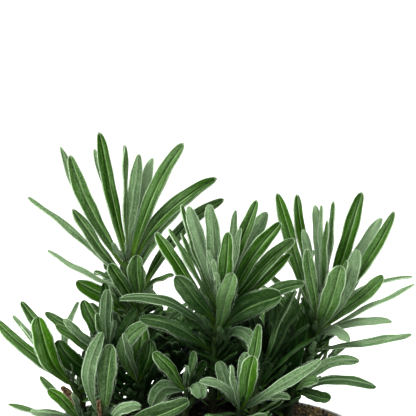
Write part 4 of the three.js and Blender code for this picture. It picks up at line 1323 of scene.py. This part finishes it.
def make_plant():
    stems = [Stem(number, *row) for number, row in enumerate(STEMS)]
    standing = Standing(stems)
    leaves = [*place_seen_leaves(stems, standing), *place_rule_leaves(stems, standing)]
    set_painted_shade(stems, leaves)
    outer_points = np.concatenate([leaf.outer for leaf in leaves])
    dice = random.Random(LEAF_SEED)
    rng = np.random.default_rng(HAIR_SEED)
    leaf_look, stem_look, hair_look = leaf_material(), stem_material(), hair_material()
    for stem in stems:
        blades, hairs, wood = Pile(), Pile(), Pile()
        roots = []
        for leaf in (leaf for leaf in leaves if leaf.stem is stem):
            if leaf.by_eye:
                margin_hairs(hairs, leaf, fine_blade(blades, leaf, SEEN_GRID, dice), rng)
            else:
                leaf.look(dice.uniform(*RULE_FELT), dice.uniform(*RULE_TONE))
                fine_blade(blades, leaf, RULE_GRID, dice)
            gap = stem.samples - leaf.curve.start
            roots.append(stem.depth_at[np.argmin((gap ** 2).sum(axis=1))])
        young_leaves(blades, hairs, stem, dice, rng)
        for leaf, frames in single_leaves(blades, stem, LONG_YOUNG, dice):
            margin_hairs(hairs, leaf, frames, rng)
        axil_tufts(blades, stem, outer_points, dice)
        single_leaves(blades, stem, DRY_LEAVES, dice)
        fine_stem(wood, stem, roots, dice)
        pieces = [
            blades.to_object("leaves_" + stem.name, leaf_look),
            wood.to_object("stalk_" + stem.name, stem_look),
            hairs.to_object("hairs_" + stem.name, hair_look, smooth=False),
        ]
        for piece in pieces:
            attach(piece, "root")
        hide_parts("stem_" + stem.name)


def make_holder():
    rng = np.random.default_rng(SOIL_SEED)
    pot = make_pot(pot_material())
    soil = make_soil(soil_material())
    crumbs = make_crumbs(crumb_material(), rng)
    for piece, slot in ((pot, "pot_plastic"), (soil, "potting_soil"), (crumbs, "potting_soil")):
        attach(piece, "root")
    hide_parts("pot")
    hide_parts("soil")


PICTURE_PIXELS = 416
MM_PER_PIXEL = 0.4
SENSOR = 36.0


def make_camera():
    camera = bpy.data.objects.new("camera", bpy.data.cameras.new("camera"))
    bpy.context.scene.collection.objects.link(camera)
    camera.location = EYE * MM
    camera.rotation_euler = (math.pi / 2 - EYE_TILT, 0, 0)
    camera.data.sensor_width = SENSOR
    camera.data.lens = SENSOR * EYE_DISTANCE / (PICTURE_PIXELS * MM_PER_PIXEL)
    camera.data.clip_start = 0.01
    camera.data.clip_end = 100
    bpy.context.scene.camera = camera


# Each light: name, place in metres, size, power. All look at the plant's middle.
LIGHTS = (
    ("key_light", (-0.85, -0.75, 1.1), 0.4, 24.0),
    ("fill_light", (0.95, -0.75, 0.6), 0.9, 2.0),
    ("top_light", (0.25, 0.35, 1.35), 0.6, 20.0),
)
PLANT_MIDDLE = Vector((0, 0, 0.13))
SKY_STRENGTH = 1.06


def make_lights():
    for name, place, size, power in LIGHTS:
        light = bpy.data.objects.new(name, bpy.data.lights.new(name, "AREA"))
        light.data.size = size
        light.data.energy = power
        light.location = place
        light.rotation_euler = (PLANT_MIDDLE - Vector(place)).to_track_quat("-Z", "Y").to_euler()
        bpy.context.scene.collection.objects.link(light)
    world = bpy.data.worlds.new("studio")
    world.use_nodes = True
    back = world.node_tree.nodes["Background"]
    back.inputs["Color"].default_value = (1, 1, 1, 1)
    back.inputs["Strength"].default_value = SKY_STRENGTH
    bpy.context.scene.world = world
    bpy.context.scene.view_settings.view_transform = "Standard"


FLOOR_HALF = 30000.0


def make_floor():
    corners = np.array([[-1, -1, 0], [1, -1, 0], [1, 1, 0], [-1, 1, 0]]) * FLOOR_HALF
    pile = Pile()
    pile.add(corners, [np.arange(4)[None, :]])
    floor = pile.to_object("floor", floor_material())


make_plant()
make_holder()
make_camera()
make_lights()
make_floor()
